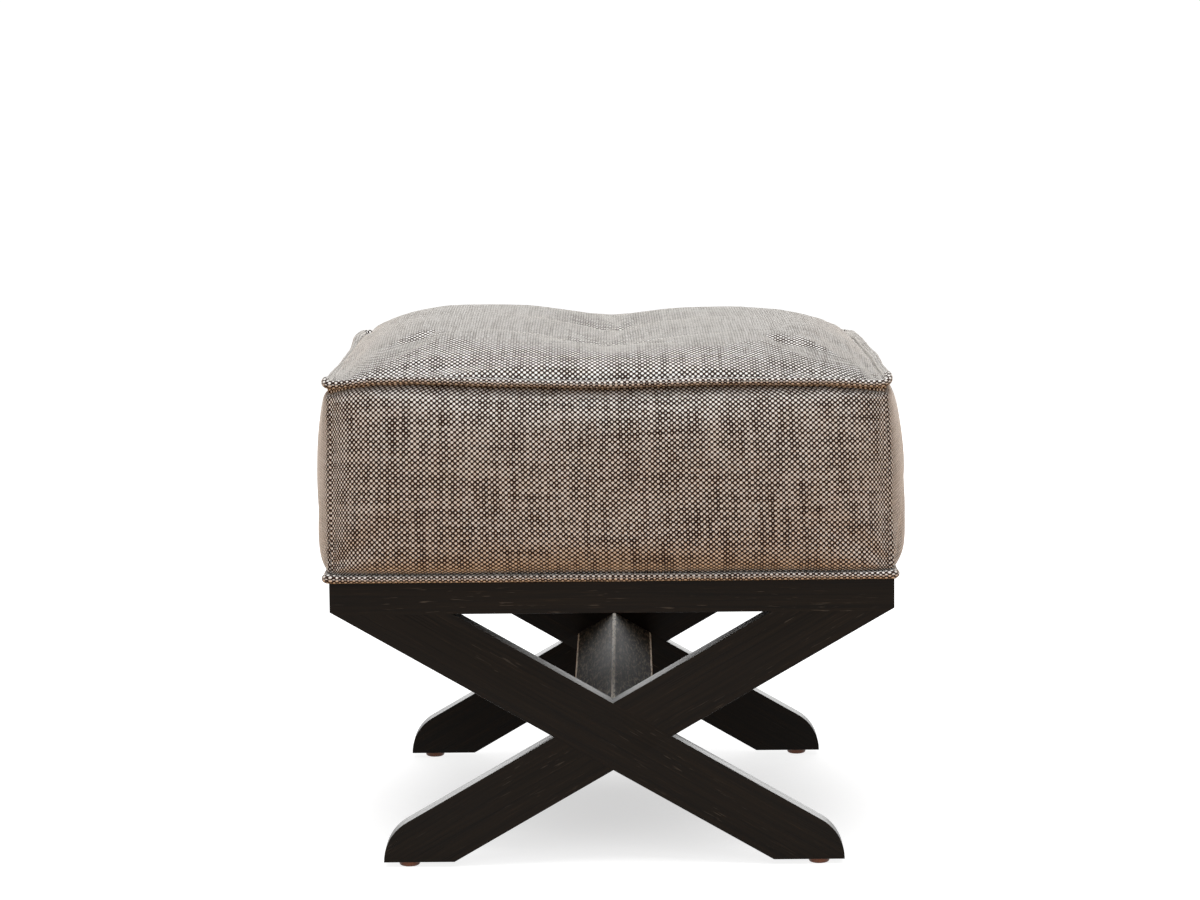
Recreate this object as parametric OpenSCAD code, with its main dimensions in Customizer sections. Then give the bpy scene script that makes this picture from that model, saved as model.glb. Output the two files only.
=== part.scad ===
// Square ottoman: a tufted box cushion on two crossed-leg frames that a ridged stretcher ties together.
// X runs from left to right, Y from front to back and Z up.
// The origin is on the floor, under the middle.

/* [Overall] */
// Width over the ends of the top rails
frame_w = 524; // [490:2:560]
// Depth over the front and rear faces of the two frames
frame_d = 524; // [490:2:560]
// Height from the floor to the top of the rails
frame_h = 270; // [260:1:285]

/* [Crossed legs] */
// Thickness of the boards of the legs and rails
board_t = 25; // [22:0.5:30]
// Height of a top rail
rail_h = 30; // [26:1:36]
// Width of a leg board
leg_w = 55; // [48:1:62]
// Slope of a leg from level, in degrees
leg_angle = 30; // [28:0.5:32]
// Height at which the middles of the legs cross
crossing_h = 123; // [115:1:130]
// Distance between the tips of the left and right toes
foot_span = 431; // [410:1:450]
// Radius of a rounded toe
toe_r = 43; // [25:1:46]
// Diameter of the dowels in the crossed frames
dowel_d = 10; // [8:1:12]
// Length of those dowels
dowel_l = 40; // [32:1:44]

/* [Stretcher] */
// Width between the upright sides of the stretcher
stretcher_w = 77; // [60:1:90]
// Distance between its two dowels
stretcher_dowel_pitch = 36; // [28:1:44]

/* [Glides] */
// Diameter of a glide
glide_d = 20.6; // [18:0.2:24]
// Height of a glide
glide_h = 5; // [4:0.5:7]
// Distance from the tip of a toe to the middle of its glide
glide_inset = 23.5; // [20:0.5:30]

/* [Seat frame] */
// Thickness of the seat rails
seat_rail_t = 20; // [18:1:26]
// Height of the seat rails
seat_rail_h = 45; // [40:1:55]
// Length of a corner block along each rail
block_leg = 60; // [50:1:80]
// Height of a corner block
block_h = 36; // [30:1:38]

/* [Webbing] */
// Strips of webbing in each direction
web_count = 4; // [3:1:5]
// Width of a strip
web_w = 50; // [40:1:60]
// Distance between the middles of neighbouring strips
web_pitch = 100; // [85:1:110]
// Thickness of a strip
web_t = 1.5; // [1:0.1:2]

/* [Cushion] */
// Distance from a rail's end or face in to the corner seams
seam_inset = 2; // [0:0.5:8]
// Height from the rails to the middle of the top welt
side_h = 183; // [165:1:200]
// Rise of the crown above the top welt
crown_rise = 41; // [28:1:48]
// How far a side panel swells past its corner seams
side_bow = 25.5; // [10:0.5:34]
// Diameter of the top welt
top_welt_d = 6.6; // [5:0.1:8]
// Diameter of the bottom welt
bottom_welt_d = 7.2; // [5:0.1:8]
// Thickness of the foam
foam_h = 120; // [100:1:122]
// Depth of a tuft below the crown
tuft_depth = 22; // [12:1:30]
// Distance between neighbouring tufts
tuft_pitch = 131; // [115:1:140]
// Diameter of a covered button
button_d = 22; // [18:1:24]

/* [Hidden] */
$fn = 48;

wood_colour = "#25211e";
fabric_colour = "#a2988c";
glide_colour = "#5e3016";
steel_colour = "#9a9a98";
bare_wood_colour = "#c9a777";
lengthwise_webbing_colour = "#3b3a38";
crosswise_webbing_colour = "#45423e";
deck_colour = "#6b655c";
foam_colour = "#e9dfb8";
padding_colour = "#f2f0ea";
cord_colour = "#e8e3d6";
twine_colour = "#d8d2c2";
dust_colour = "#1d1d1d";

// How far a cut runs past the face it starts from
overrun = 1;
// Room round a dowel, nail or screw, on the radius
fit_gap = 0.05;
// Room round the head of a nail or screw, on the radius
head_gap = 0.3;
// Room between the two halves of a crossing
lap_gap = 0.1;
// Room between soft layers
soft_gap = 0.4;

// Crossed frames
rail_bottom = frame_h - rail_h;
strip_l = 2 * (frame_w + frame_h);
leg_rise = leg_w / 2 / cos(leg_angle);
front_y = -frame_d / 2;
rear_y = frame_d / 2 - board_t;
lap_depth = (board_t + lap_gap) / 2;
// A leg meets its rail from the inner corner of the joint to the outer one
joint_inner_x = (rail_bottom - crossing_h - leg_rise) / tan(leg_angle);
joint_outer_x = min(frame_w / 2, (rail_bottom - crossing_h + leg_rise) / tan(leg_angle));
leg_dowel_share = [0.22, 0.52];
leg_dowel_x = [for (s = leg_dowel_share) joint_inner_x + s * (joint_outer_x - joint_inner_x)];
dowel_end_gap = 0.5;
// Depth of the stretcher's dowels in a crossing
dowel_in_frame = 18;

// Rounded toe, as the corner it is cut from and the centre of its arc
toe_corner = [-foot_span / 2, crossing_h - foot_span / 2 * tan(leg_angle) + leg_rise];
toe_tangent = toe_r * tan((90 - leg_angle) / 2);
toe_centre = toe_corner + [toe_r, -toe_tangent];

// Glides and their nails
glide_edge_r = 2.6;
glide_taper = 0.5;
nail_shank_d = 2.5;
nail_head_d = 6.4;
nail_head_t = 1.2;
nail_recess = 1.8;
nail_grip = 15;
nail_point = 3;
glide_x = foot_span / 2 - glide_inset;

// Bottom welt's flange, on the rails and under the seat frame
flange_t = 1;
flange_w = 34;

// Cushion, from the cover inwards
cover_t = 1.2;
seam_w = frame_w - 2 * seam_inset;
seam_d = frame_d - 2 * seam_inset;
pad_w = seam_w - 2 * (cover_t + soft_gap);
pad_d = seam_d - 2 * (cover_t + soft_gap);
skirt_t = 8;
core_w = pad_w - 2 * (skirt_t + soft_gap);
core_d = pad_d - 2 * (skirt_t + soft_gap);

// Seat frame
seat_z = frame_h + flange_t;
seat_top = seat_z + seat_rail_h;
seat_dowel_d = 8;
seat_dowel_in_rail = 12;
seat_dowel_in_end = 26;
seat_dowel_share = [0.3, 0.7];
block_z = seat_z + (seat_rail_h - block_h) / 2;
block_screw_d = 4;
block_screw_head_d = 8;
block_screw_head_t = 2.4;
block_screw_grip = 15;
// Screws stand on the hypotenuse of a block, this far from the rail they do not enter
block_screw_inset = 30;
block_screw_seat = 9;
// Height between the two screws of a block, so that their bores pass each other
block_screw_step = 12;

// Screws from the top rails up into the seat frame
seat_screw_d = 4.5;
seat_screw_head_d = 9;
seat_screw_head_t = 3;
seat_screw_counterbore = 8;
seat_screw_l = 48;
// Near the middle, where the legs leave room for a driver below
seat_screw_share = [-0.1, 0, 0.1];
seat_screw_y = (frame_d / 2 - board_t + core_d / 2) / 2;

// Webbing, deck cloth and foam
web_gap = 0.15;
web_step = (web_t + web_gap) / 2;
web_z = seat_top + web_t / 2;
web_flat_margin = 3;
web_end_inset = 4;
deck_t = 1;
deck_inset = 3;
deck_z = seat_top + web_t + web_step + soft_gap / 2;
foam_z = deck_z + deck_t + soft_gap;
foam_top = foam_z + foam_h;

// Welts
cord_share = 0.62;
cord_gap = 0.1;
top_cord_d = cord_share * top_welt_d;
bottom_cord_d = cord_share * bottom_welt_d;
welt_corner_r = 7;
top_welt_z = frame_h + side_h;
top_welt_half_w = pad_w / 2 + soft_gap + top_welt_d / 2;
top_welt_half_d = pad_d / 2 + soft_gap + top_welt_d / 2;
bottom_welt_z = frame_h + soft_gap + bottom_welt_d / 2;
bottom_welt_half_w = pad_w / 2 + soft_gap + bottom_welt_d / 2;
bottom_welt_half_d = pad_d / 2 + soft_gap + bottom_welt_d / 2;

// Room in the mitre between two side panels
seam_gap = 0.1;
// Side panels lie between the welts
panel_bottom = bottom_welt_z + bottom_welt_d / 2 + soft_gap;
panel_top = top_welt_z - top_welt_d / 2 - soft_gap;
panel_row_share = [-1, -0.94, -0.75, -0.35, 0.15, 0.55, 0.82, 0.95, 1];
bow_power = 2.5;
bow_power_low = 6;
bow_power_high = 2;

// Crown and tufts of the top panel
shoulder_power_x = 7;
shoulder_power_y = 5;
tuft_spread_x = 60;
tuft_spread_y = 45;
tuft_power_x = 1.5;
tuft_y = [-tuft_pitch, 0, tuft_pitch];
// Flat seat under a button
button_seat_margin = 0.6;
button_seat = button_d / 2 + button_seat_margin;
// Share of its neighbours' pull that a tuft adds to its own
neighbour_share = 0.5;

// Buttons, twines and toggles
button_dome = 4.5;
button_rim = 1.2;
twine_d = 2;
needle_gap = 0.3;
toggle_d = 8;
toggle_l = 64;
toggle_z = web_z - web_step - web_t / 2 - toggle_d / 2 - soft_gap / 2;

// Dust cover, between the crossed frames
dust_t = 0.8;
dust_margin = 3;

// Lines of the cushion's mesh: close together at the tufts and at the edges
line_x_share = [0, 0.1, 0.24, 0.4, 0.57, 0.72, 0.84, 0.93, 1];
line_y_share = [0.3, 0.56, 0.78, 0.92, 1];
ridge_share = [1 / 3, 2 / 3];
half_lines_x = [for (s = line_x_share) button_seat + s * (pad_w / 2 - button_seat)];
outer_tuft_edge = tuft_pitch + button_seat;
half_lines_y = concat(
    [button_seat],
    [for (s = ridge_share) button_seat + s * (tuft_pitch - 2 * button_seat)],
    [tuft_pitch - button_seat, outer_tuft_edge],
    [for (s = line_y_share) outer_tuft_edge + s * (pad_d / 2 - outer_tuft_edge)]
);

function both_sides(half) = concat([for (i = [len(half) - 1 : -1 : 0]) -half[i]], half);

lines_x = both_sides(half_lines_x);
lines_y = both_sides(half_lines_y);
nx = len(lines_x);
ny = len(lines_y);

// Share of the crown left at a distance from the middle, 1 in the middle and 0 at the seam
function shoulder(share, power) = 1 - pow(min(abs(share), 1), power);

// How deep a tuft pulls the top down at x, y; it is flat under its button
function tuft_pull(x, y, ty) =
    exp(-pow(max(abs(x) - button_seat, 0) / tuft_spread_x, tuft_power_x))
    * exp(-pow(max(abs(y - ty) - button_seat, 0) / tuft_spread_y, 2));

// Deepest pull of any tuft, with a little of its neighbours'
function pull(x, y) =
    let (p = [for (ty = tuft_y) tuft_pull(x, y, ty)])
    max(p) + neighbour_share * (p[0] + p[1] + p[2] - max(p)) * (1 - max(p));

// Outer face of the top panel
function crown_z(x, y) =
    top_welt_z - tuft_depth * pull(x, y)
    + crown_rise * shoulder(2 * x / seam_w, shoulder_power_x) * shoulder(2 * y / seam_d, shoulder_power_y);

// Swell of a side panel up its height, share -1 at the bottom and 1 at the top
function swell(share) = share < 0
    ? sqrt(1 - pow(-share, bow_power_low))
    : sqrt(1 - pow(share, bow_power_high));

// How far a side panel stands out, across from -1 to 1 and up from -1 to 1
function bow(across, up) = side_bow * (1 - pow(min(abs(across), 1), bow_power)) * swell(up);

function row_z(up) = panel_bottom + (up + 1) / 2 * (panel_top - panel_bottom);

// Triangles between the rows of a grid of points, counted from the index first
function grid_faces(rows, cols, first, flip) = [
    for (i = [0 : rows - 2], j = [0 : cols - 2], k = [0, 1])
    let (a = first + i * cols + j, b = a + 1, c = a + cols + 1, d = a + cols,
         t = k == 0 ? [a, b, c] : [a, c, d])
    flip ? [t[2], t[1], t[0]] : t
];

// Index round the border of a grid, all the way round
function border(rows, cols) = concat(
    [for (j = [0 : cols - 1]) j],
    [for (i = [1 : rows - 1]) i * cols + cols - 1],
    [for (j = [cols - 2 : -1 : 0]) (rows - 1) * cols + j],
    [for (i = [rows - 2 : -1 : 1]) i * cols]
);

// Triangles between two closed loops of indices
function band_faces(low, high) = [
    for (k = [0 : len(low) - 1], t = [0, 1])
    let (n = (k + 1) % len(low))
    t == 0 ? [low[k], high[k], high[n]] : [low[k], high[n], low[n]]
];

// A closed sheet between two grids of points
module sheet(outer, inner) {
    rows = len(outer);
    cols = len(outer[0]);
    count = rows * cols;
    edge = border(rows, cols);
    polyhedron(
        points = concat([for (row = outer) for (p = row) p], [for (row = inner) for (p = row) p]),
        faces = concat(
            grid_faces(rows, cols, 0, false),
            grid_faces(rows, cols, count, true),
            band_faces(edge, [for (e = edge) e + count])
        )
    );
}

// A board that stands in X and Z, with its front face at y
module upright(y, thickness) {
    translate([0, y + thickness, 0])
        rotate([90, 0, 0])
            linear_extrude(thickness)
                children();
}

// The full run of a rising leg board, width wide
module rising_strip(width) {
    translate([0, crossing_h])
        rotate(leg_angle)
            square([strip_l, width], center = true);
}

// All that lies below a rising leg
module below_rising_strip() {
    translate([0, crossing_h])
        rotate(leg_angle)
            translate([-strip_l / 2, -leg_w / 2 - strip_l])
                square(strip_l);
}

// What is cut away from the square corner of a toe
module toe_waste() {
    difference() {
        polygon([
            toe_corner + [-overrun, overrun],
            toe_corner + toe_tangent * [cos(leg_angle), sin(leg_angle)],
            toe_centre,
            toe_corner + [0, -toe_tangent]
        ]);
        translate(toe_centre)
            circle(toe_r, $fn = 96);
    }
}

module rising_leg_outline() {
    difference() {
        intersection() {
            rising_strip(leg_w);
            translate([-foot_span / 2, glide_h])
                square([(foot_span + frame_w) / 2, rail_bottom - glide_h]);
        }
        toe_waste();
    }
}

// Holes for the dowels between the legs and the rails of one frame
module leg_dowel_holes(y) {
    for (side = [-1, 1], x = leg_dowel_x)
        translate([side * x, y + board_t / 2, rail_bottom - dowel_l / 2 - dowel_end_gap])
            cylinder(h = dowel_l + 2 * dowel_end_gap, d = dowel_d + 2 * fit_gap);
}

// Dowels along Y between the crossings and the stretcher
// Their holes are grow wider on the radius and end_grow longer at each end
module stretcher_dowel_set(grow, end_grow) {
    middle_y = frame_d / 2 - board_t + dowel_in_frame - dowel_l / 2;
    for (side = [-1, 1], x = [-1, 1])
        translate([x * stretcher_dowel_pitch / 2, side * middle_y, crossing_h])
            rotate([90, 0, 0])
                cylinder(h = dowel_l + 2 * end_grow, d = dowel_d + 2 * grow, center = true);
}

// One leg: half its thickness is let out where the other leg crosses it
module leg(y, rising) {
    turn = rising ? 0 : 1;
    // The falling leg keeps its front half at the crossing
    housing_y = rising ? y - overrun : y + board_t - lap_depth;
    glide_side = rising ? -1 : 1;
    difference() {
        upright(y, board_t)
            mirror([turn, 0])
                rising_leg_outline();
        upright(housing_y, lap_depth + overrun)
            mirror([1 - turn, 0])
                rising_strip(leg_w + 2 * lap_gap);
        leg_dowel_holes(y);
        stretcher_dowel_set(fit_gap, dowel_end_gap);
        translate([glide_side * glide_x, y + board_t / 2, 0])
            cylinder(h = glide_h + nail_grip + dowel_end_gap, d = nail_shank_d + 2 * fit_gap);
    }
}

// A pan-head screw that points up from the underside of its head
module screw(shank_d, head_d, head_t, length) {
    cylinder(h = head_t, d = head_d);
    cylinder(h = length + head_t - shank_d, d = shank_d);
    translate([0, 0, length + head_t - shank_d])
        cylinder(h = shank_d, d1 = shank_d, d2 = 0);
}

// Places of the screws that hold the seat frame down, in each rail
module at_seat_screws() {
    for (side = [-1, 1], s = seat_screw_share)
        translate([s * core_w, side * seat_screw_y, rail_bottom])
            children();
}

module seat_screw_holes() {
    at_seat_screws() {
        translate([0, 0, -overrun])
            cylinder(h = seat_screw_counterbore + overrun, d = seat_screw_head_d + 2 * head_gap);
        cylinder(h = seat_screw_counterbore + seat_screw_l + dowel_end_gap, d = seat_screw_d + 2 * fit_gap);
    }
}

module top_rail(y) {
    difference() {
        upright(y, board_t)
            difference() {
                translate([-frame_w / 2, rail_bottom])
                    square([frame_w, rail_h]);
                below_rising_strip();
                mirror([1, 0])
                    below_rising_strip();
            }
        leg_dowel_holes(y);
        seat_screw_holes();
    }
}

// Solid revolved glide, with a hole for the shank and a recess for the head of its nail
module glide(x_side, y_side) {
    r = glide_d / 2;
    translate([x_side * glide_x, y_side * (frame_d - board_t) / 2, 0])
        rotate_extrude()
            polygon(concat(
                [[nail_head_d / 2 + head_gap, 0]],
                [for (a = [0 : 15 : 90])
                    [r - glide_taper - glide_edge_r + glide_edge_r * sin(a), glide_edge_r * (1 - cos(a))]],
                [
                    [r, glide_h],
                    [nail_shank_d / 2 + fit_gap, glide_h],
                    [nail_shank_d / 2 + fit_gap, nail_recess],
                    [nail_head_d / 2 + head_gap, nail_recess]
                ]
            ));
}

module glide_nail() {
    rotate_extrude()
        polygon([
            [0, nail_recess - nail_head_t],
            [nail_head_d / 2, nail_recess - nail_head_t],
            [nail_head_d / 2, nail_recess],
            [nail_shank_d / 2, nail_recess],
            [nail_shank_d / 2, glide_h + nail_grip - nail_point],
            [0, glide_h + nail_grip]
        ]);
}

// Dowels along Y that hold the left and right seat rails to the front and rear ones
module seat_dowel_set(grow, end_grow) {
    length = seat_dowel_in_rail + seat_dowel_in_end;
    for (x_side = [-1, 1], y_side = [-1, 1], s = seat_dowel_share)
        translate([
            x_side * (core_w - seat_rail_t) / 2,
            y_side * (core_d / 2 - seat_rail_t + seat_dowel_in_rail - length / 2),
            seat_z + s * seat_rail_h
        ])
            rotate([90, 0, 0])
                cylinder(h = length + 2 * end_grow, d = seat_dowel_d + 2 * grow, center = true);
}

// Puts a block or its screws in each corner of the seat frame, with the corner at its origin
module at_seat_corners() {
    for (x_side = [0, 1], y_side = [0, 1])
        mirror([x_side, 0, 0])
            mirror([0, y_side, 0])
                translate([-core_w / 2 + seat_rail_t, -core_d / 2 + seat_rail_t, block_z])
                    children();
}

// Height in its block of screw 0 or 1
function block_screw_z(m) = block_h / 2 + (m - 0.5) * block_screw_step;

// The two screws of one corner block, one into each rail
module block_screw_pair(grow) {
    for (m = [0, 1])
        rotate([0, 0, m * 90])
            mirror([0, m, 0])
                translate([block_screw_inset, block_screw_seat, block_screw_z(m)])
                    rotate([90, 0, 0])
                        screw_back(grow);
}

// A screw that sits with the underside of its head at the origin and points along Z
module screw_back(grow) {
    translate([0, 0, -block_screw_head_t])
        screw(block_screw_d + 2 * grow, block_screw_head_d + 2 * grow, block_screw_head_t,
            block_screw_seat + block_screw_grip + grow);
}

module seat_rail_front_rear(y_side) {
    difference() {
        translate([-core_w / 2, y_side * (core_d - seat_rail_t) / 2 - seat_rail_t / 2, seat_z])
            cube([core_w, seat_rail_t, seat_rail_h]);
        seat_dowel_set(fit_gap, dowel_end_gap);
        seat_screw_holes();
        at_seat_corners()
            block_screw_pair(fit_gap);
    }
}

module seat_rail_left_right(x_side) {
    difference() {
        translate([x_side * (core_w - seat_rail_t) / 2 - seat_rail_t / 2, -core_d / 2 + seat_rail_t, seat_z])
            cube([seat_rail_t, core_d - 2 * seat_rail_t, seat_rail_h]);
        seat_dowel_set(fit_gap, dowel_end_gap);
        at_seat_corners()
            block_screw_pair(fit_gap);
    }
}

// One strip of webbing along X, woven over and under the strips that cross it
module web_strip(length, first_up) {
    reach = length / 2 - web_end_inset;
    flat = (web_w + web_flat_margin) / 2;
    middle = [for (k = [0 : web_count - 1]) (k - (web_count - 1) / 2) * web_pitch];
    level = [for (k = [0 : web_count - 1]) ((k + first_up) % 2 == 0 ? 1 : -1) * web_step];
    top = concat(
        [[-reach, 0], [middle[0] - web_pitch / 2, 0]],
        [for (k = [0 : web_count - 1]) each [[middle[k] - flat, level[k]], [middle[k] + flat, level[k]]]],
        [[middle[web_count - 1] + web_pitch / 2, 0], [reach, 0]]
    );
    translate([0, web_w / 2, web_z])
        rotate([90, 0, 0])
            linear_extrude(web_w)
                polygon(concat(
                    [for (p = top) p + [0, web_t / 2]],
                    [for (i = [len(top) - 1 : -1 : 0]) top[i] - [0, web_t / 2]]
                ));
}

// All strips of one direction; turn is 0 for strips along X and 1 for strips along Y
// With an odd count the second direction starts the other way up, so that the strips interlace
module web_layer(length, turn) {
    difference() {
        rotate([0, 0, turn * 90])
            for (k = [0 : web_count - 1])
                translate([0, (k - (web_count - 1) / 2) * web_pitch, 0])
                    web_strip(length, k + turn * (web_count % 2));
        needle_holes();
    }
}

// Holes that the tufting needle leaves through every layer
module needle_holes() {
    for (ty = tuft_y)
        translate([0, ty, toggle_z])
            cylinder(h = top_welt_z + crown_rise - toggle_z, d = twine_d + 2 * needle_gap);
}

// Points of the cushion's top, lowered by drop
function crown_grid(drop) = [for (y = lines_y) [for (x = lines_x) [x, y, crown_z(x, y) - drop]]];

// Points of a side panel whose outer face stands at a distance from the middle, seen from in front
function side_grid(lines, seam, seam_across, inset) = [
    for (up = panel_row_share) [
        for (x = lines)
        let (across = x / lines[len(lines) - 1])
        [
            across * (seam_across / 2 - inset),
            -(seam / 2 - inset + bow(across, up)),
            row_z(up)
        ]
    ]
];

module side_panel(lines, seam, seam_across) {
    sheet(side_grid(lines, seam, seam_across, seam_gap), side_grid(lines, seam, seam_across, cover_t));
}

// Points round the padding at one height, in the order of border()
function ring(out_front, out_side, z) = concat(
    [for (j = [0 : nx - 1]) [lines_x[j], -pad_d / 2 - out_front[j], z]],
    [for (i = [1 : ny - 1]) [pad_w / 2 + out_side[i], lines_y[i], z]],
    [for (j = [nx - 2 : -1 : 0]) [lines_x[j], pad_d / 2 + out_front[j], z]],
    [for (i = [ny - 2 : -1 : 1]) [-pad_w / 2 - out_side[i], lines_y[i], z]]
);

function swollen_ring(up) = ring(
    [for (x = lines_x) bow(2 * x / pad_w, up)],
    [for (y = lines_y) bow(2 * y / pad_d, up)],
    row_z(up)
);

// The whole crowned and swollen body that fills the cover
module padding_form() {
    flat_ring = ring([for (x = lines_x) 0], [for (y = lines_y) 0], seat_z + soft_gap);
    rings = concat([flat_ring], [for (up = panel_row_share) swollen_ring(up)]);
    count = len(flat_ring);
    levels = len(rings);
    top = crown_grid(cover_t + soft_gap);
    loop = [for (k = [0 : count - 1]) k];
    top_loop = [for (e = border(ny, nx)) e + levels * count];
    middle = levels * count + nx * ny;
    polyhedron(
        points = concat(
            [for (r = rings) for (p = r) p],
            [for (row = top) for (p = row) p],
            [[0, 0, seat_z + soft_gap]]
        ),
        faces = concat(
            [for (k = loop) [k, (k + 1) % count, middle]],
            [for (l = [0 : levels - 2]) each band_faces(
                [for (k = loop) k + l * count], [for (k = loop) k + (l + 1) * count])],
            band_faces([for (k = loop) k + (levels - 1) * count], top_loop),
            grid_faces(ny, nx, levels * count, true)
        )
    );
}

// A round cord that runs round the cushion with rounded corners
module cord_ring(half_w, half_d, z, d) {
    straight_w = 2 * (half_w - welt_corner_r);
    straight_d = 2 * (half_d - welt_corner_r);
    translate([0, 0, z]) {
        for (side = [-1, 1]) {
            translate([-straight_w / 2, side * half_d, 0])
                rotate([0, 90, 0])
                    cylinder(h = straight_w, d = d);
            translate([side * half_w, straight_d / 2, 0])
                rotate([90, 0, 0])
                    cylinder(h = straight_d, d = d);
        }
        for (corner = [0 : 3])
            rotate([0, 0, corner * 90])
                translate([
                    (corner % 2 == 0 ? straight_w : straight_d) / 2,
                    (corner % 2 == 0 ? straight_d : straight_w) / 2,
                    0
                ])
                    rotate_extrude(angle = 90)
                        translate([welt_corner_r, 0])
                            circle(d = d);
    }
}

module covered_button(ty) {
    r = button_d / 2;
    translate([0, ty, crown_z(0, ty) + soft_gap])
        rotate_extrude()
            polygon(concat(
                [[0, 0], [r - button_rim, 0]],
                [for (a = [0 : 15 : 90]) [r * cos(a), button_rim + button_dome * sin(a)]]
            ));
}

module front_top_rail() {
    color(wood_colour) top_rail(front_y);
}

module rear_top_rail() {
    color(wood_colour) top_rail(rear_y);
}

module front_leg_falling() {
    color(wood_colour) leg(front_y, false);
}

module front_leg_rising() {
    color(wood_colour) leg(front_y, true);
}

module rear_leg_falling() {
    color(wood_colour) leg(rear_y, false);
}

module rear_leg_rising() {
    color(wood_colour) leg(rear_y, true);
}

module leg_dowels() {
    color(bare_wood_colour)
        for (y = [front_y, rear_y], side = [-1, 1], x = leg_dowel_x)
            translate([side * x, y + board_t / 2, rail_bottom - dowel_l / 2])
                cylinder(h = dowel_l, d = dowel_d);
}

// The ridged section is the lozenge of the crossing, cut upright at its sides
module stretcher() {
    color(wood_colour)
        difference() {
            upright(front_y + board_t, frame_d - 2 * board_t)
                intersection() {
                    rising_strip(leg_w);
                    mirror([1, 0])
                        rising_strip(leg_w);
                    translate([-stretcher_w / 2, crossing_h - leg_w])
                        square([stretcher_w, 2 * leg_w]);
                }
            stretcher_dowel_set(fit_gap, dowel_end_gap);
        }
}

module stretcher_dowels() {
    color(bare_wood_colour) stretcher_dowel_set(0, 0);
}

module front_left_glide() {
    color(glide_colour) glide(-1, -1);
}

module front_right_glide() {
    color(glide_colour) glide(1, -1);
}

module rear_left_glide() {
    color(glide_colour) glide(-1, 1);
}

module rear_right_glide() {
    color(glide_colour) glide(1, 1);
}

module glide_nails() {
    color(steel_colour)
        for (x_side = [-1, 1], y_side = [-1, 1])
            translate([x_side * glide_x, y_side * (frame_d - board_t) / 2, 0])
                glide_nail();
}

module front_seat_rail() {
    color(bare_wood_colour) seat_rail_front_rear(-1);
}

module rear_seat_rail() {
    color(bare_wood_colour) seat_rail_front_rear(1);
}

module left_seat_rail() {
    color(bare_wood_colour) seat_rail_left_right(-1);
}

module right_seat_rail() {
    color(bare_wood_colour) seat_rail_left_right(1);
}

module seat_frame_dowels() {
    color(bare_wood_colour) seat_dowel_set(0, 0);
}

module corner_blocks() {
    color(bare_wood_colour)
        at_seat_corners()
            difference() {
                linear_extrude(block_h)
                    polygon([[0, 0], [block_leg, 0], [0, block_leg]]);
                block_screw_pair(fit_gap);
                for (m = [0, 1])
                    rotate([0, 0, m * 90])
                        mirror([0, m, 0])
                            translate([block_screw_inset, block_leg, block_screw_z(m)])
                                rotate([90, 0, 0])
                                    cylinder(
                                        h = block_leg - block_screw_seat,
                                        d = block_screw_head_d + 2 * fit_gap
                                    );
            }
}

module corner_block_screws() {
    color(steel_colour)
        at_seat_corners()
            block_screw_pair(0);
}

module seat_screws() {
    color(steel_colour)
        at_seat_screws()
            translate([0, 0, seat_screw_counterbore - seat_screw_head_t])
                screw(seat_screw_d, seat_screw_head_d, seat_screw_head_t, seat_screw_l);
}

module lengthwise_webbing() {
    color(lengthwise_webbing_colour) web_layer(core_d, 1);
}

module crosswise_webbing() {
    color(crosswise_webbing_colour) web_layer(core_w, 0);
}

module deck_cloth() {
    color(deck_colour)
        difference() {
            translate([-core_w / 2 + deck_inset, -core_d / 2 + deck_inset, deck_z])
                cube([core_w - 2 * deck_inset, core_d - 2 * deck_inset, deck_t]);
            needle_holes();
        }
}

module foam_core() {
    color(foam_colour)
        difference() {
            translate([-core_w / 2, -core_d / 2, foam_z])
                cube([core_w, core_d, foam_h]);
            needle_holes();
        }
}

module padding_wrap() {
    color(padding_colour)
        difference() {
            padding_form();
            translate([-core_w / 2 - soft_gap, -core_d / 2 - soft_gap, seat_z - overrun])
                cube([core_w + 2 * soft_gap, core_d + 2 * soft_gap, foam_top + soft_gap - seat_z + overrun]);
            needle_holes();
        }
}

module top_panel() {
    color(fabric_colour)
        difference() {
            sheet(crown_grid(cover_t), crown_grid(0));
            needle_holes();
        }
}

module front_side_panel() {
    color(fabric_colour) side_panel(lines_x, seam_d, seam_w);
}

module rear_side_panel() {
    color(fabric_colour)
        rotate([0, 0, 180])
            side_panel(lines_x, seam_d, seam_w);
}

module left_side_panel() {
    color(fabric_colour)
        rotate([0, 0, -90])
            side_panel(lines_y, seam_w, seam_d);
}

module right_side_panel() {
    color(fabric_colour)
        rotate([0, 0, 90])
            side_panel(lines_y, seam_w, seam_d);
}

module top_welt() {
    color(fabric_colour)
        difference() {
            cord_ring(top_welt_half_w, top_welt_half_d, top_welt_z, top_welt_d);
            cord_ring(top_welt_half_w, top_welt_half_d, top_welt_z, top_cord_d + 2 * cord_gap);
        }
}

module top_piping_cord() {
    color(cord_colour)
        cord_ring(top_welt_half_w, top_welt_half_d, top_welt_z, top_cord_d);
}

// Flat flange of the bottom welt, open in the middle
module welt_flange() {
    translate([0, 0, frame_h])
        linear_extrude(flange_t)
            difference() {
                square([2 * bottom_welt_half_w, 2 * bottom_welt_half_d], center = true);
                square(2 * [bottom_welt_half_w - flange_w, bottom_welt_half_d - flange_w], center = true);
            }
}

// The welt with the flange that is nipped between the rails and the seat frame
module bottom_welt() {
    color(fabric_colour)
        difference() {
            union() {
                cord_ring(bottom_welt_half_w, bottom_welt_half_d, bottom_welt_z, bottom_welt_d);
                welt_flange();
            }
            cord_ring(bottom_welt_half_w, bottom_welt_half_d, bottom_welt_z, bottom_cord_d + 2 * cord_gap);
            seat_screw_holes();
        }
}

module bottom_piping_cord() {
    color(cord_colour)
        cord_ring(bottom_welt_half_w, bottom_welt_half_d, bottom_welt_z, bottom_cord_d);
}

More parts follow.
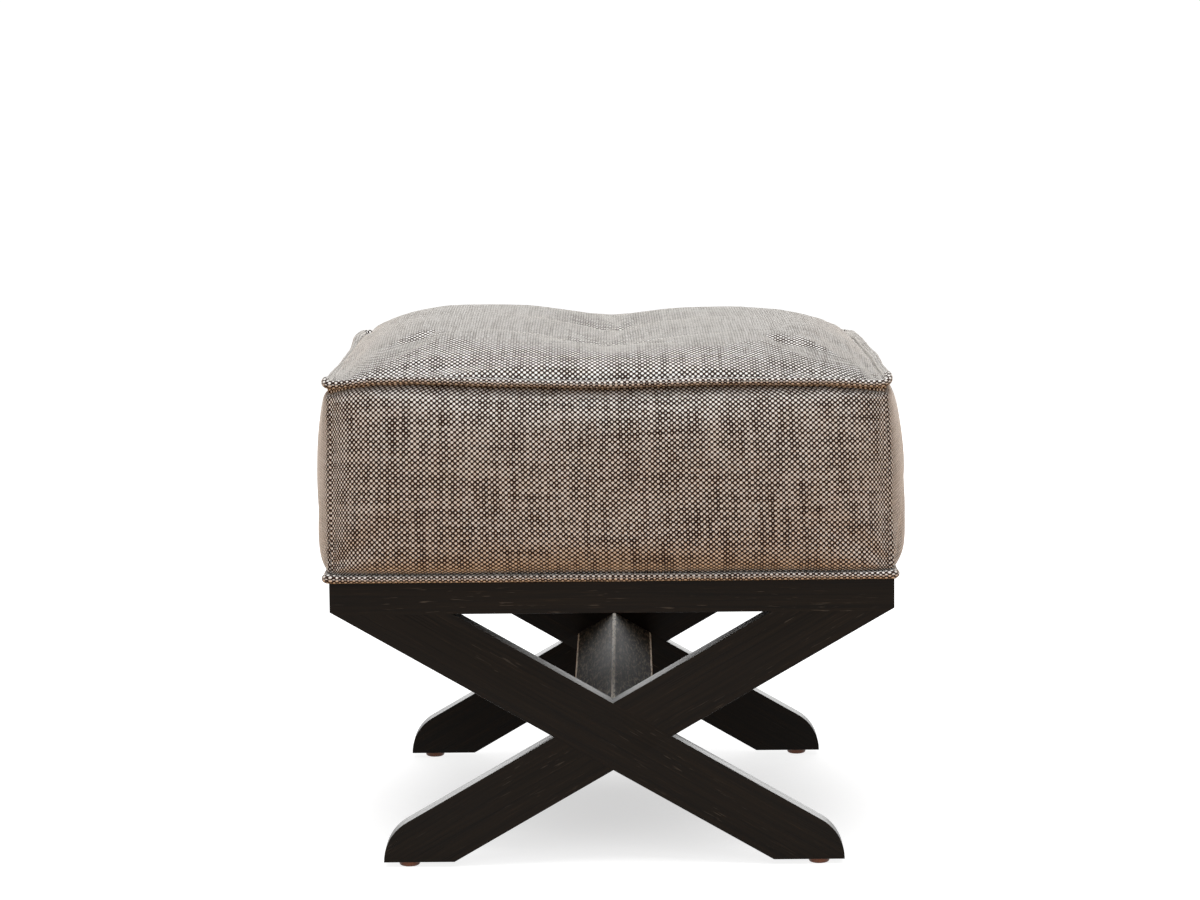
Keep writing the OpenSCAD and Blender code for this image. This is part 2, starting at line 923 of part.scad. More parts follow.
module front_tuft_button() {
    color(fabric_colour) covered_button(tuft_y[0]);
}

module centre_tuft_button() {
    color(fabric_colour) covered_button(tuft_y[1]);
}

module rear_tuft_button() {
    color(fabric_colour) covered_button(tuft_y[2]);
}

module tuft_twines() {
    color(twine_colour)
        for (ty = tuft_y)
            translate([0, ty, toggle_z + toggle_d / 2])
                cylinder(h = crown_z(0, ty) + soft_gap - toggle_z - toggle_d / 2, d = twine_d);
}

module tuft_toggles() {
    color(bare_wood_colour)
        for (ty = tuft_y)
            translate([-toggle_l / 2, ty, toggle_z])
                rotate([0, 90, 0])
                    cylinder(h = toggle_l, d = toggle_d);
}

module dust_cover() {
    depth = frame_d - 2 * board_t - 2 * soft_gap;
    color(dust_colour)
        translate([-core_w / 2 + dust_margin, -depth / 2, frame_h - dust_t])
            cube([core_w - 2 * dust_margin, depth, dust_t]);
}

front_top_rail();
rear_top_rail();
front_leg_falling();
front_leg_rising();
rear_leg_falling();
rear_leg_rising();
leg_dowels();
stretcher();
stretcher_dowels();
front_left_glide();
front_right_glide();
rear_left_glide();
rear_right_glide();
glide_nails();
front_seat_rail();
rear_seat_rail();
left_seat_rail();
right_seat_rail();
seat_frame_dowels();
corner_blocks();
corner_block_screws();
seat_screws();
lengthwise_webbing();
crosswise_webbing();
deck_cloth();
foam_core();
padding_wrap();
top_panel();
front_side_panel();
rear_side_panel();
left_side_panel();
right_side_panel();
top_welt();
top_piping_cord();
bottom_welt();
bottom_piping_cord();
front_tuft_button();
centre_tuft_button();
rear_tuft_button();
tuft_twines();
tuft_toggles();
dust_cover();
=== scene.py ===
import math

import bmesh
import bpy
import numpy as np
from mathutils import Matrix, Vector


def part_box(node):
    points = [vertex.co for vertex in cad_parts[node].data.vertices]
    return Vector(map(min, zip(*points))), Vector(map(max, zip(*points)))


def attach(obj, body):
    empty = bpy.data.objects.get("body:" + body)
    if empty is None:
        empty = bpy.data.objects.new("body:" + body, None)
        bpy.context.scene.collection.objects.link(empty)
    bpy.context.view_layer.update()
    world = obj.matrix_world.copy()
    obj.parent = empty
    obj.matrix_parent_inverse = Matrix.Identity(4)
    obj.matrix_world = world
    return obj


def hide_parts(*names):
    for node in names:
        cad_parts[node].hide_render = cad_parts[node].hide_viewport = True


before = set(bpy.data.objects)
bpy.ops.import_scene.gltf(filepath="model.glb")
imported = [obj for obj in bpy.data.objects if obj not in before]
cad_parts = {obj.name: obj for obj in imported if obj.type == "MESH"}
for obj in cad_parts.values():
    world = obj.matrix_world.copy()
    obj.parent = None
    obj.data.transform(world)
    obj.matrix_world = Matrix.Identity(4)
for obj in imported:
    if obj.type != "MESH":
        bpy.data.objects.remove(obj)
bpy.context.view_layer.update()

mm = 0.001


# ---- The studio: the ottoman stands square to the camera on a pale floor that runs out to white.
# A broad soft lamp hangs over it, a weaker one fills in from the front, and a low one glows
# behind it.
camera_place = Vector((18.8 * mm, -3872 * mm, 862 * mm))
camera_yaw = math.radians(-0.449)
camera_pitch = math.radians(7.41)
camera_roll = math.radians(-0.58)
camera_lens = 118.4
studio_white = (1.0, 1.0, 1.0, 1.0)
floor_bounce = (0.60, 0.32, 0.14, 1.0)
floor_reach = 400.0
room_light = 0.32
shadow_grey = (0.48, 0.48, 0.48, 1)
# Painted shadow: the floor's glow rises over these distances from the ottoman's middle, in metres
painted_shadow_reach = (0.02, 0.44)
painted_shadow_glow = (0.56, 0.92)

ahead = Vector((
    math.sin(camera_yaw) * math.cos(camera_pitch),
    math.cos(camera_yaw) * math.cos(camera_pitch),
    -math.sin(camera_pitch),
))
level = Vector((math.cos(camera_yaw), -math.sin(camera_yaw), 0))
overhead = level.cross(ahead)
rightward = math.cos(camera_roll) * level + math.sin(camera_roll) * overhead
upward = math.cos(camera_roll) * overhead - math.sin(camera_roll) * level

camera_data = bpy.data.cameras.new("camera")
camera_data.lens = camera_lens
camera_data.clip_end = 2 * floor_reach
camera = bpy.data.objects.new("camera", camera_data)
camera.matrix_world = (
    Matrix.Translation(camera_place)
    @ Matrix((rightward, upward, -ahead)).transposed().to_4x4()
)
bpy.context.scene.collection.objects.link(camera)
bpy.context.scene.camera = camera
bpy.context.scene.view_settings.view_transform = "Standard"


def fill_in(tree, node, sockets):
    """Sets a node's sockets; a value is a number, a colour or another node's output"""
    for name, value in sockets.items():
        if isinstance(value, bpy.types.NodeSocket):
            tree.links.new(value, node.inputs[name])
        else:
            node.inputs[name].default_value = value


def put(tree, kind, sockets=None, **settings):
    """Adds a node with its settings and its sockets"""
    made = tree.nodes.new("ShaderNode" + kind)
    for name, value in settings.items():
        setattr(made, name, value)
    fill_in(tree, made, sockets or {})
    return made


def maths(tree, operation, *values):
    """The output of a Math node"""
    return put(tree, "Math", dict(enumerate(values)), operation=operation).outputs[0]


def ranged(tree, value, source, target=(0.0, 1.0), **settings):
    """A value carried from one range to another"""
    return put(tree, "MapRange", {"Value": value, "From Min": source[0], "From Max": source[1],
                                  "To Min": target[0], "To Max": target[1]},
               **settings).outputs[0]


def finish_of(name):
    """A new finish, its node tree and its surface shader"""
    made = bpy.data.materials.new(name)
    made.use_nodes = True
    return made, made.node_tree, made.node_tree.nodes["Principled BSDF"]


def seen_directly(tree):
    """1 where the camera, a reflection or clear glass looks straight at a surface"""
    path = put(tree, "LightPath")
    either = maths(tree, "MAXIMUM", path.outputs["Is Camera Ray"], path.outputs["Is Glossy Ray"])
    return maths(tree, "MAXIMUM", either, path.outputs["Is Transmission Ray"])


def lamp(name, place, aim, width, depth, power):
    data = bpy.data.lights.new(name, "AREA")
    data.shape = "RECTANGLE"
    data.size, data.size_y, data.energy = width, depth, power
    made = bpy.data.objects.new(name, data)
    made.location = place
    made.rotation_mode = "QUATERNION"
    made.rotation_quaternion = (Vector(aim) - Vector(place)).to_track_quat("-Z", "Y")
    bpy.context.scene.collection.objects.link(made)


lamp("overhead_lamp", (-0.1, -0.55, 2.6), (0, -0.1, 0.3), 2.2, 1.9, 50)
lamp("front_fill", (0.3, -3.2, 2.4), (0, 0, 0.4), 2.4, 1.4, 18)
lamp("back_glow", (0, 3.2, 1.0), (0, 0, 0.4), 4.0, 1.6, 60)

world = bpy.data.worlds.new("studio")
bpy.context.scene.world = world
world.use_nodes = True
sky = world.node_tree
sky.nodes.clear()
soft_light = put(sky, "Background", {"Color": studio_white, "Strength": room_light})
white_room = put(sky, "Background", {"Color": studio_white, "Strength": 1.0})
seen_sky = put(sky, "MixShader", {0: seen_directly(sky), 1: soft_light.outputs[0],
                                  2: white_room.outputs[0]})
put(sky, "OutputWorld", {"Surface": seen_sky.outputs[0]})

bpy.ops.object.select_all(action="DESELECT")
bpy.ops.mesh.primitive_plane_add(size=2 * floor_reach)
floor = bpy.context.object
floor.name = "floor"
floor_paint, tree, _ = finish_of("pale floor")
tree.nodes.clear()
lit_floor = put(tree, "BsdfDiffuse", {"Color": floor_bounce})
shadowed = put(tree, "BsdfDiffuse", {"Color": shadow_grey})
away = put(tree, "VectorMath", {0: put(tree, "NewGeometry").outputs["Position"]},
           operation="LENGTH").outputs["Value"]
# Painted shadow: the floor glows less the nearer it lies to the middle of the ottoman
glow_out_of_painted_shadow = ranged(tree, away, painted_shadow_reach, painted_shadow_glow, interpolation_type="SMOOTHSTEP")
glow = put(tree, "Emission", {"Color": studio_white, "Strength": glow_out_of_painted_shadow})
white_floor = put(tree, "AddShader", {0: shadowed.outputs[0], 1: glow.outputs[0]})
seen_floor = put(tree, "MixShader", {0: seen_directly(tree), 1: lit_floor.outputs[0],
                                     2: white_floor.outputs[0]})
put(tree, "OutputMaterial", {"Surface": seen_floor.outputs[0]})
floor.data.materials.append(floor_paint)


# ---- The crossed frames: each is two hardwood boards halved into each other under a top rail,
# planed flush, stained nearly black and rubbed through a little along the arrises.
stain_dark = (0.0070, 0.0052, 0.0036, 1)
stain_light = (0.030, 0.022, 0.015, 1)
rubbed_brown = (0.11, 0.050, 0.024, 1)
scratch_grey = (0.095, 0.084, 0.070, 1)
arris = 0.6 * mm
leg_slope = math.radians(30)
leg_width = 55 * mm
crossing_height = 123 * mm
corner_turn = math.radians(20)
touching = 0.01 * mm
rail_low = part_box("front_top_rail")[0].z
leg_rise = leg_width / 2 / math.cos(leg_slope)
joint_inner = (rail_low - crossing_height - leg_rise) / math.tan(leg_slope)


def noise(tree, vector, scale=1.0, detail=2.0, roughness=0.5):
    """The value of a noise texture"""
    return put(tree, "TexNoise", {"Vector": vector, "Scale": scale, "Detail": detail,
                                  "Roughness": roughness}).outputs["Fac"]


def blend(tree, share, first, second):
    """A colour that passes from the first to the second"""
    return put(tree, "Mix", {"Factor": share, 6: first, 7: second}, data_type="RGBA").outputs[2]


def bumps(tree, height, strength, distance):
    """A surface direction that follows a height"""
    return put(tree, "Bump", {"Height": height, "Strength": strength,
                              "Distance": distance}).outputs[0]


def along(tree, turn, stretch):
    """Object coordinates turned so that X follows the grain, with so many features per metre"""
    place = put(tree, "TexCoord").outputs["Object"]
    turned = put(tree, "Mapping", {"Vector": place, "Rotation": turn})
    return put(tree, "Mapping", {"Vector": turned.outputs[0], "Scale": stretch}).outputs[0]


def stained_wood(name, turn, worn_and_highlit=None, wear=0.0, gloss=0.09, dulled=0.0):
    """Espresso stain over open-grained hardwood; worn is the rubbed-through colour, on the
    stretcher's ridge also a painted highlight
    """
    made, tree, shader = finish_of(name)
    grain = noise(tree, along(tree, turn, (5, 260, 260)), detail=5, roughness=0.6)
    pores = noise(tree, along(tree, turn, (28, 900, 900)))
    cloudy = noise(tree, along(tree, turn, (6, 14, 14)), detail=3)
    streak = ranged(tree, pores, (0.62, 0.76))
    tone = ranged(tree, grain, (0.35, 0.75))
    tone = maths(tree, "MULTIPLY_ADD", tone, 0.45, maths(tree, "MULTIPLY", streak, 0.55))
    colour = blend(tree, tone, stain_dark, stain_light)
    if worn_and_highlit:
        rub = noise(tree, along(tree, turn, (60, 500, 500)), detail=4, roughness=0.7)
        rubbed = ranged(tree, rub, (0.62 - wear, 0.78 - wear), (0, 0.9))
        colour = blend(tree, rubbed, colour, worn_and_highlit)
    strokes = ranged(tree, noise(tree, along(tree, turn, (42, 620, 620))), (0.66, 0.74))
    patches = ranged(tree, cloudy, (0.47, 0.66))
    colour = blend(tree, maths(tree, "MULTIPLY", strokes, patches), colour, scratch_grey)
    satin = maths(tree, "MULTIPLY_ADD", cloudy, 0.5, maths(tree, "MULTIPLY", grain, 0.5))
    satin = ranged(tree, satin, (0.35, 0.65), (0.24 + dulled, 0.40 + dulled))
    fill_in(tree, shader, {"Base Color": colour, "Roughness": satin, "Specular IOR Level": gloss,
                           "Normal": bumps(tree, grain, 0.25, 0.12 * mm)})
    return made


def outline_edge(edge, faces_y):
    """An edge of the board's outline: on its front or back face, with the surface turning there"""
    on_face = any(all(abs(v.co.y - y) < touching for v in edge.verts) for y in faces_y)
    return on_face and len(edge.link_faces) == 2 and edge.calc_face_angle(0) > corner_turn


def eased(node, name, wood, worn_wood, cuts, wanted, width):
    """A piece of the frame with its joints left tight and the arrises that a hand touches eased"""
    bpy.ops.object.select_all(action="DESELECT")
    piece = bpy.data.objects.new(name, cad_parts[node].data.copy())
    piece.data.materials.clear()
    piece.data.materials.append(wood)
    piece.data.materials.append(worn_wood)
    bpy.context.scene.collection.objects.link(piece)
    bpy.context.view_layer.objects.active = piece
    piece.select_set(True)
    bpy.ops.object.mode_set(mode="EDIT")
    bpy.ops.mesh.select_all(action="SELECT")
    bpy.ops.mesh.remove_doubles(threshold=0.005 * mm)
    bpy.ops.mesh.dissolve_limited(angle_limit=math.radians(0.5))
    for place, normal in cuts:
        bpy.ops.mesh.select_all(action="SELECT")
        bpy.ops.mesh.bisect(plane_co=place, plane_no=normal)
    bpy.ops.mesh.select_all(action="DESELECT")
    bpy.ops.mesh.select_mode(type="EDGE")
    form = bmesh.from_edit_mesh(piece.data)
    for face in form.faces:
        face.material_index = 0
    for edge in form.edges:
        edge.select = wanted(edge)
    bmesh.update_edit_mesh(piece.data)
    bpy.ops.mesh.bevel(offset=width, segments=2, affect="EDGES", material=1)
    bpy.ops.object.mode_set(mode="OBJECT")
    bpy.ops.object.shade_smooth_by_angle(angle=math.radians(60))
    bpy.ops.object.modifier_add(type="WEIGHTED_NORMAL")
    piece.modifiers[-1].keep_sharp = True
    bpy.ops.object.modifier_apply(modifier=piece.modifiers[-1].name)
    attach(piece, "root")
    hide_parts(node)


level_grain = (0, 0, 0)
rail_wood = stained_wood("stained wood, rails", level_grain)
rail_arris = stained_wood("rubbed arris, rails", level_grain, rubbed_brown, 0.05)
for end in ("front", "rear"):
    low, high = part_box(end + "_top_rail")
    faces_y = (low.y, high.y)

    def rail_edge(edge):
        middle = (edge.verts[0].co + edge.verts[1].co) / 2
        jointed = abs(middle.z - rail_low) < touching and abs(middle.x) > joint_inner
        return outline_edge(edge, faces_y) and not jointed

    eased(end + "_top_rail", end + "_rail", rail_wood, rail_arris,
          [((s * joint_inner, 0, 0), (1, 0, 0)) for s in (-1, 1)], rail_edge, arris)

for lie, sign in (("rising", 1), ("falling", -1)):
    grain_turn = (0, sign * leg_slope, 0)
    leg_wood = stained_wood(f"stained wood, {lie} legs", grain_turn)
    leg_arris = stained_wood(f"rubbed arris, {lie} legs", grain_turn, rubbed_brown, 0.05)
    other = Vector((sign * math.sin(leg_slope), 0, math.cos(leg_slope)))
    crossing = Vector((0, 0, crossing_height))
    for end in ("front", "rear"):
        low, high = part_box(f"{end}_leg_{lie}")
        faces_y = (low.y, high.y)

        def leg_edge(edge):
            middle = (edge.verts[0].co + edge.verts[1].co) / 2
            in_crossing = abs((middle - crossing).dot(other)) < leg_width / 2 + 0.2 * mm
            at_rail = abs(middle.z - rail_low) < touching
            return outline_edge(edge, faces_y) and not in_crossing and not at_rail

        eased(f"{end}_leg_{lie}", f"{end}_{lie}_leg", leg_wood, leg_arris,
              [(crossing + s * leg_width / 2 * other, other) for s in (-1, 1)], leg_edge, arris)


# ---- The stretcher: one hardwood bar whose ridged top and bottom continue the slopes of the
# crossing. It is doweled between the frames and stained like them; feet have rubbed its sides
# pale, and its ridge is painted pale, partly as rubbed wear and partly as a painted highlight.
# The ridge's pale: rubbed wood together with a painted highlight
rubbed_pale_and_painted_highlight = (0.85, 0.77, 0.64, 1)
rubbed_grey = (0.22, 0.18, 0.13, 1)
ridge_ease = 2.0 * mm
long_edge = 200 * mm
lengthwise_grain = (0, 0, math.radians(-90))


def stretcher_edge(edge):
    run = edge.verts[0].co - edge.verts[1].co
    turning = len(edge.link_faces) == 2 and edge.calc_face_angle(0) > corner_turn
    return turning and abs(run.y) > long_edge


rubbing = {"gloss": 0.04, "dulled": 0.2}
eased("stretcher", "stretcher_bar",
      stained_wood("stained wood, stretcher", lengthwise_grain, rubbed_grey, 0.14, **rubbing),
      # The ridge's pale colour is partly rubbed wear and partly a painted highlight
      stained_wood("rubbed and highlit ridge, stretcher", lengthwise_grain, rubbed_pale_and_painted_highlight, 0.28, **rubbing),
      [], stretcher_edge, ridge_ease)


# ---- The glides: four round nylon feet, reddish brown, each nailed up into the flat of a foot.
# They are moulded, with a rounded lower edge and a recess that sinks the nail's head.
nylon_brown = (0.27, 0.092, 0.036, 1)
nylon_dark = (0.13, 0.045, 0.019, 1)
zinc_dark = (0.42, 0.42, 0.43, 1)
zinc_light = (0.62, 0.62, 0.60, 1)

glide_nylon, tree, shader = finish_of("brown nylon")
scuffs = noise(tree, put(tree, "TexCoord").outputs["Object"], 260, 4, 0.65)
fill_in(tree, shader, {"Base Color": blend(tree, scuffs, nylon_dark, nylon_brown),
                       "Roughness": ranged(tree, scuffs, (0, 1), (0.3, 0.6)),
                       "Normal": bumps(tree, scuffs, 0.3, 0.05 * mm)})

zinc_steel, tree, shader = finish_of("zinc plated steel")
spangle = noise(tree, put(tree, "TexCoord").outputs["Object"], 900)
fill_in(tree, shader, {"Base Color": blend(tree, spangle, zinc_dark, zinc_light), "Metallic": 1,
                       "Roughness": ranged(tree, spangle, (0, 1), (0.25, 0.5))})


def dress(names, material):
    """Gives CAD nodes their finish"""
    for name in names:
        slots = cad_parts[name].data.materials
        slots.clear()
        slots.append(material)


dress([f"{end}_{side}_glide" for end in ("front", "rear") for side in ("left", "right")],
      glide_nylon)
dress(["glide_nails"], zinc_steel)


# ---- The fastenings and the seat frame: birch dowels, and rails and corner blocks of plain
# hardwood, glued and screwed, that carry the cushion. All of it is hidden once the cover is on.
birch_pale = (0.62, 0.46, 0.28, 1)
birch_brown = (0.42, 0.27, 0.14, 1)


def plain_wood(name, turn):
    made, tree, shader = finish_of(name)
    rings = noise(tree, along(tree, turn, (4, 90, 90)), detail=5, roughness=0.6)
    tone = ranged(tree, rings, (0.3, 0.7))
    fill_in(tree, shader, {"Base Color": blend(tree, tone, birch_pale, birch_brown),
                           "Roughness": 0.7, "Normal": bumps(tree, rings, 0.3, 0.2 * mm)})
    return made


dress(["front_seat_rail", "rear_seat_rail", "corner_blocks", "tuft_toggles"],
      plain_wood("plain hardwood, crosswise", level_grain))
dress(["left_seat_rail", "right_seat_rail", "stretcher_dowels", "seat_frame_dowels"],
      plain_wood("plain hardwood, lengthwise", lengthwise_grain))
dress(["leg_dowels"], plain_wood("plain hardwood, upright", (0, math.radians(90), 0)))
dress(["corner_block_screws", "seat_screws"], zinc_steel)


# ---- The webbing and the deck cloth: interlaced rubber-filled strips tacked to the seat frame,
# with a lining over them that keeps the foam out of the gaps.
def ribbed_cloth(name, dark, light, across, ribs_per_metre):
    """A plain woven cloth whose ribs run along Object X or Y"""
    made, tree, shader = finish_of(name)
    place = put(tree, "TexCoord").outputs["Object"]
    rib = put(tree, "SeparateXYZ", {0: place}).outputs[across]
    rib = maths(tree, "SINE", maths(tree, "MULTIPLY", rib, ribs_per_metre * math.tau))
    rib = maths(tree, "MULTIPLY_ADD", rib, 0.5, 0.5)
    tone = maths(tree, "MULTIPLY", rib, noise(tree, place, 900, 3))
    fill_in(tree, shader, {"Base Color": blend(tree, tone, dark, light), "Roughness": 0.85,
                           "Normal": bumps(tree, rib, 0.5, 0.3 * mm)})
    return made


dress(["lengthwise_webbing"],
      ribbed_cloth("lengthwise webbing", (0.02, 0.02, 0.018, 1), (0.16, 0.15, 0.13, 1), 0, 400))
dress(["crosswise_webbing"],
      ribbed_cloth("crosswise webbing", (0.025, 0.022, 0.018, 1), (0.18, 0.16, 0.13, 1), 1, 400))
dress(["deck_cloth"],
      ribbed_cloth("deck cloth", (0.12, 0.105, 0.085, 1), (0.30, 0.27, 0.22, 1), 0, 900))


# ---- The cushion: foam in a fibre wrap under a sewn cover of chunky cream and brown plain weave.
# It crowns between the welts, its sides swell over the rails and draw in at the corner seams, and
# three tufts pull a valley down the middle. It is hollow below, where the seat frame goes.
columns, rows = 132, 32
plan_crowding, height_crowding = 0.68, 0.82
# The seam and the cover's rim above the undersides of the top and the bottom welt
seam_rise, rim_rise = 3.9 * mm, 2 * mm
tuft_places = [
    Vector(((low.x + high.x) / 2, (low.y + high.y) / 2, low.z))
    for low, high in (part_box(f"{name}_tuft_button") for name in ("front", "centre", "rear"))
]
seam_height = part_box("top_welt")[0].z + seam_rise
rim_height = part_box("bottom_welt")[0].z + rim_rise
side_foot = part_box("front_side_panel")[0].z
hollow_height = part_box("deck_cloth")[1].z + 0.4 * mm
hollow_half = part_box("front_seat_rail")[1].x + 0.8 * mm
hollow_share = 0.97
# Corners of the bottom and top seams in plan, anticlockwise from the front left
low_corners = np.array([[-261.8, -260.5], [259.8, -260.5], [259.5, 260.3], [-261.3, 260.3]]) * mm
top_corners = np.array([[-260.8, -259], [255.7, -259], [246.8, 255.5], [-260.3, 256.4]]) * mm
crown_height = 39.5 * mm
seam_groove, groove_reach, groove_span = 8.0 * mm, 3.3 * mm, 258 * mm
# How far a side is drawn in at its rim, at its foot and under the top seam
rim_tuck, foot_tuck, seam_tuck = 3 * mm, 1 * mm, 6.5 * mm
foot_tuck_reach, seam_tuck_reach = 2 * mm, 2.5 * mm
corner_notch = 2.0 * mm
# The tufts from front to rear: how long each pit is for its width, and its crease
pit_lengthening = [2.3, 1.8, 1.3]
crease_depth = np.array([7.8, 6.2, 4.0]) * mm
crease_reach = np.array([88, 64, 42]) * mm
crease_front, crease_back = 9 * mm, 32 * mm
button_seat = 11.5 * mm
pit_reach, dimple_reach = 27 * mm, 8 * mm
fold_rise, fold_ring, fold_width = 0.9 * mm, 27 * mm, 11 * mm
valley_round = 4 * mm
# The valley's depth along the middle of the top, and its reach to each side of the middle
valley_y = np.array([-250, -215, -180, -150, -65, 0, 65, 130, 175, 225]) * mm
valley_depth = np.array([0.5, 3.0, 7.0, 9.0, 9.4, 7.8, 5.2, 3.6, 1.4, 0]) * mm
valley_reach = np.array([70, 68, 64, 60, 48, 45, 42, 40, 40, 40]) * mm
side_swell = {"front": 14.5 * mm, "rear": 15 * mm, "left": 16.8 * mm, "right": 20.4 * mm}
side_foot_fullness, end_foot_fullness = 20, 8
# How the sewn welt wanders above and below its mean height: places along each side, from -1 to 1,
# and the rise at each in mm
wander = {
    "front": ([-1, -0.89, -0.70, -0.38, -0.03, 0.33, 0.77, 0.92, 1],
              [-1.9, 4.3, 5.4, 1.6, -0.9, 1.1, 0.4, -1.9, -4.8]),
    "rear": ([-1, -0.5, 0.1, 0.7, 1], [-3.6, 1.5, -0.5, 1.0, -8.1]),
    "left": ([-1, -0.95, -0.88, -0.64, -0.12, 0.5, 0.63, 0.8, 1],
             [-1.9, 2.4, 1.2, -0.6, -4.6, -5.6, 0.4, 0.5, -3.6]),
    "right": ([-1, -0.9, -0.6, -0.36, 0.04, 0.43, 0.8, 1],
              [-4.8, 3.5, 2.5, 5.5, 2.4, 1.5, -3.0, -8.1]),
}


def between(a, b, share):
    return a + (b - a) * share


def crowded(place, crowd):
    """Places from -1 to 1, moved towards both ends"""
    return (1 - crowd) * place + crowd * np.sin(place * np.pi / 2)


def plan_of(corners, a, b):
    """Place in plan at a across and b back, each from -1 to 1"""
    u, v = (a + 1) / 2, (b + 1) / 2
    front, rear = (between(corners[m], corners[n], u[:, None]) for m, n in ((0, 1), (3, 2)))
    return between(front, rear, v[:, None]).T


def wander_along(side, place):
    """Rise of the seam along one side, smoothed over the points that are given for it"""
    at, rise = wander[side]
    shifts = np.linspace(-0.05, 0.05, 7)
    return mm * np.mean([np.interp(place + shift, at, rise) for shift in shifts], axis=0)


def seam_at(a, b):
    """Height of the top seam, carried inwards with its waves dying out"""
    u, v = (a + 1) / 2, (b + 1) / 2
    ends = [[wander_along(side, place) for place in (-1, 1)] for side in ("front", "rear")]
    rise = (
        between(wander_along("front", a), wander_along("rear", a), v)
        + between(wander_along("left", b), wander_along("right", b), u)
        - between(between(*ends[0], u), between(*ends[1], u), v)
    )
    return seam_height + rise * (1 - (1 - a ** 4) * (1 - b ** 4))


def crown_at(a, b):
    """Rise of the crown: fuller at the left and the front than at the right and the rear"""
    across = np.where(a < 0, 1 - np.abs(a) ** 8,
                      np.maximum(1 - np.abs(a) ** 7.5, 0) ** 0.85)
    back = np.where(b < 0, 1 - np.abs(b) ** 5, np.maximum(1 - np.abs(b) ** 3.7, 0) ** 1.25)
    return crown_height * (1 - np.where(a < 0, 0.09, 0.2) * a) * across * back


def drawn_down(x, y, crown):
    """How far the top is drawn down: a valley, and at each button a crease, a pit and folds"""
    deep, wide = (np.interp(y, valley_y, table) for table in (valley_depth, valley_reach))
    down = deep * np.exp(-(np.sqrt(x ** 2 + valley_round ** 2) / wide) ** 1.15)
    for n, tuft in enumerate(tuft_places):
        dx, dy = x - tuft.x, y - tuft.y
        reach = np.hypot(dx, dy)
        middle = np.argmin(reach)
        crease = (np.abs(dx) / crease_reach[n]) ** 1.8
        crease = crease + (np.abs(dy) / np.where(dy < 0, crease_front, crease_back)) ** 1.3
        down = down + crease_depth[n] * np.exp(-crease)
        depth = seam_height + crown[middle] - tuft.z + 0.4 * mm - down[middle]
        away = np.maximum(reach - button_seat, 0)
        leaning = dy * np.where(dy < 0, 1.25, 0.85)
        oval = np.maximum(np.hypot(dx / pit_lengthening[n], leaning) - button_seat, 0)
        pit = 0.66 * np.exp(-(oval / pit_reach) ** 1.25)
        pit = pit + 0.34 * np.exp(-(away / dimple_reach) ** 1.5)
        turn = np.arctan2(dy, dx)
        folds = np.cos(7 * turn + 1.1 * n) + 0.6 * np.cos(11 * turn + 2.0 * n)
        folds = fold_rise * folds * np.exp(-((reach - fold_ring) / fold_width) ** 2)
        down = down + depth * pit + folds
    return down


def swell_at(place, height, foot_fullness):
    """Share of a side's swell at a place along it and a share of its height"""
    s = 2 * height - 1
    upright = np.where(s < 0, np.maximum(1 - np.abs(s) ** foot_fullness, 0) ** 0.45,
                       np.maximum(1 - np.abs(s) ** 2.2, 0) ** 0.55)
    return (1 - np.abs(place) ** 5) ** 0.6 * upright


bpy.ops.object.select_all(action="DESELECT")
bpy.ops.mesh.primitive_grid_add(x_subdivisions=columns, y_subdivisions=columns, size=2)
cushion = bpy.context.object
cushion.name = cushion.data.name = "cushion"
bpy.ops.object.mode_set(mode="EDIT")
bpy.ops.mesh.select_mode(type="EDGE")
bpy.ops.mesh.select_all(action="SELECT")
bpy.ops.transform.translate(value=(0, 0, 1))
bpy.ops.mesh.select_all(action="DESELECT")
bpy.ops.mesh.select_non_manifold()
for _ in range(rows):
    bpy.ops.mesh.extrude_edges_move(TRANSFORM_OT_translate={"value": (0, 0, -1 / rows)})
bpy.ops.mesh.edge_face_add()
bpy.ops.mesh.extrude_region_move()
bpy.ops.transform.resize(value=(hollow_share, hollow_share, 1), center_override=(0, 0, 0))
bpy.ops.mesh.extrude_region_move(TRANSFORM_OT_translate={"value": (0, 0, 0.25)})
bpy.ops.mesh.select_all(action="SELECT")
bpy.ops.mesh.normals_make_consistent(inside=False)
bpy.ops.object.mode_set(mode="OBJECT")

plain = np.array([v.co for v in cushion.data.vertices])
facing = np.array([f.normal for f in cushion.data.polygons])
a, b = (crowded(np.clip(plain[:, n], -1, 1), plan_crowding) for n in (0, 1))
row = np.rint(plain[:, 2] * rows).astype(int)
on_side, on_end = np.abs(plain[:, 0]) > 0.999, np.abs(plain[:, 1]) > 0.999
inner = ~on_side & ~on_end & (row < rows)
on_top = row == rows
height = np.clip((row - 1) / (rows - 2), 0, 1)
height = (1 + crowded(2 * height - 1, height_crowding)) / 2

x, y = between(plan_of(low_corners, a, b), plan_of(top_corners, a, b), height)
seam, crown = seam_at(a, b), crown_at(a, b)
panel_top = seam - seam_rise
z = between(side_foot, panel_top, height)
tuck = np.where(row == 0, rim_tuck, foot_tuck * np.exp(-(z - side_foot) / foot_tuck_reach)
                + seam_tuck * np.exp(-((panel_top - z) / seam_tuck_reach) ** 2))
tuck = 1 - np.where(on_top, 0, tuck) / hollow_half
x, y = x * tuck, y * tuck
z = np.where(row == 0, rim_height, z)
edge_gap = np.minimum(1 - np.abs(a), 1 - np.abs(b)) * groove_span / groove_reach
groove = seam_groove * edge_gap * np.exp(1 - edge_gap)
z = np.where(on_top, seam - 0.3 * mm + crown - groove, z)
z = z - np.where(on_top, drawn_down(x, y, np.where(on_top, crown, 0)), 0)
x = x + on_side * ~on_top * np.sign(a) * np.where(
    a < 0, side_swell["left"], side_swell["right"]) * swell_at(b, height, side_foot_fullness)
y = y + on_end * ~on_top * np.sign(b) * np.where(
    b < 0, side_swell["front"], side_swell["rear"]) * swell_at(a, height, end_foot_fullness)
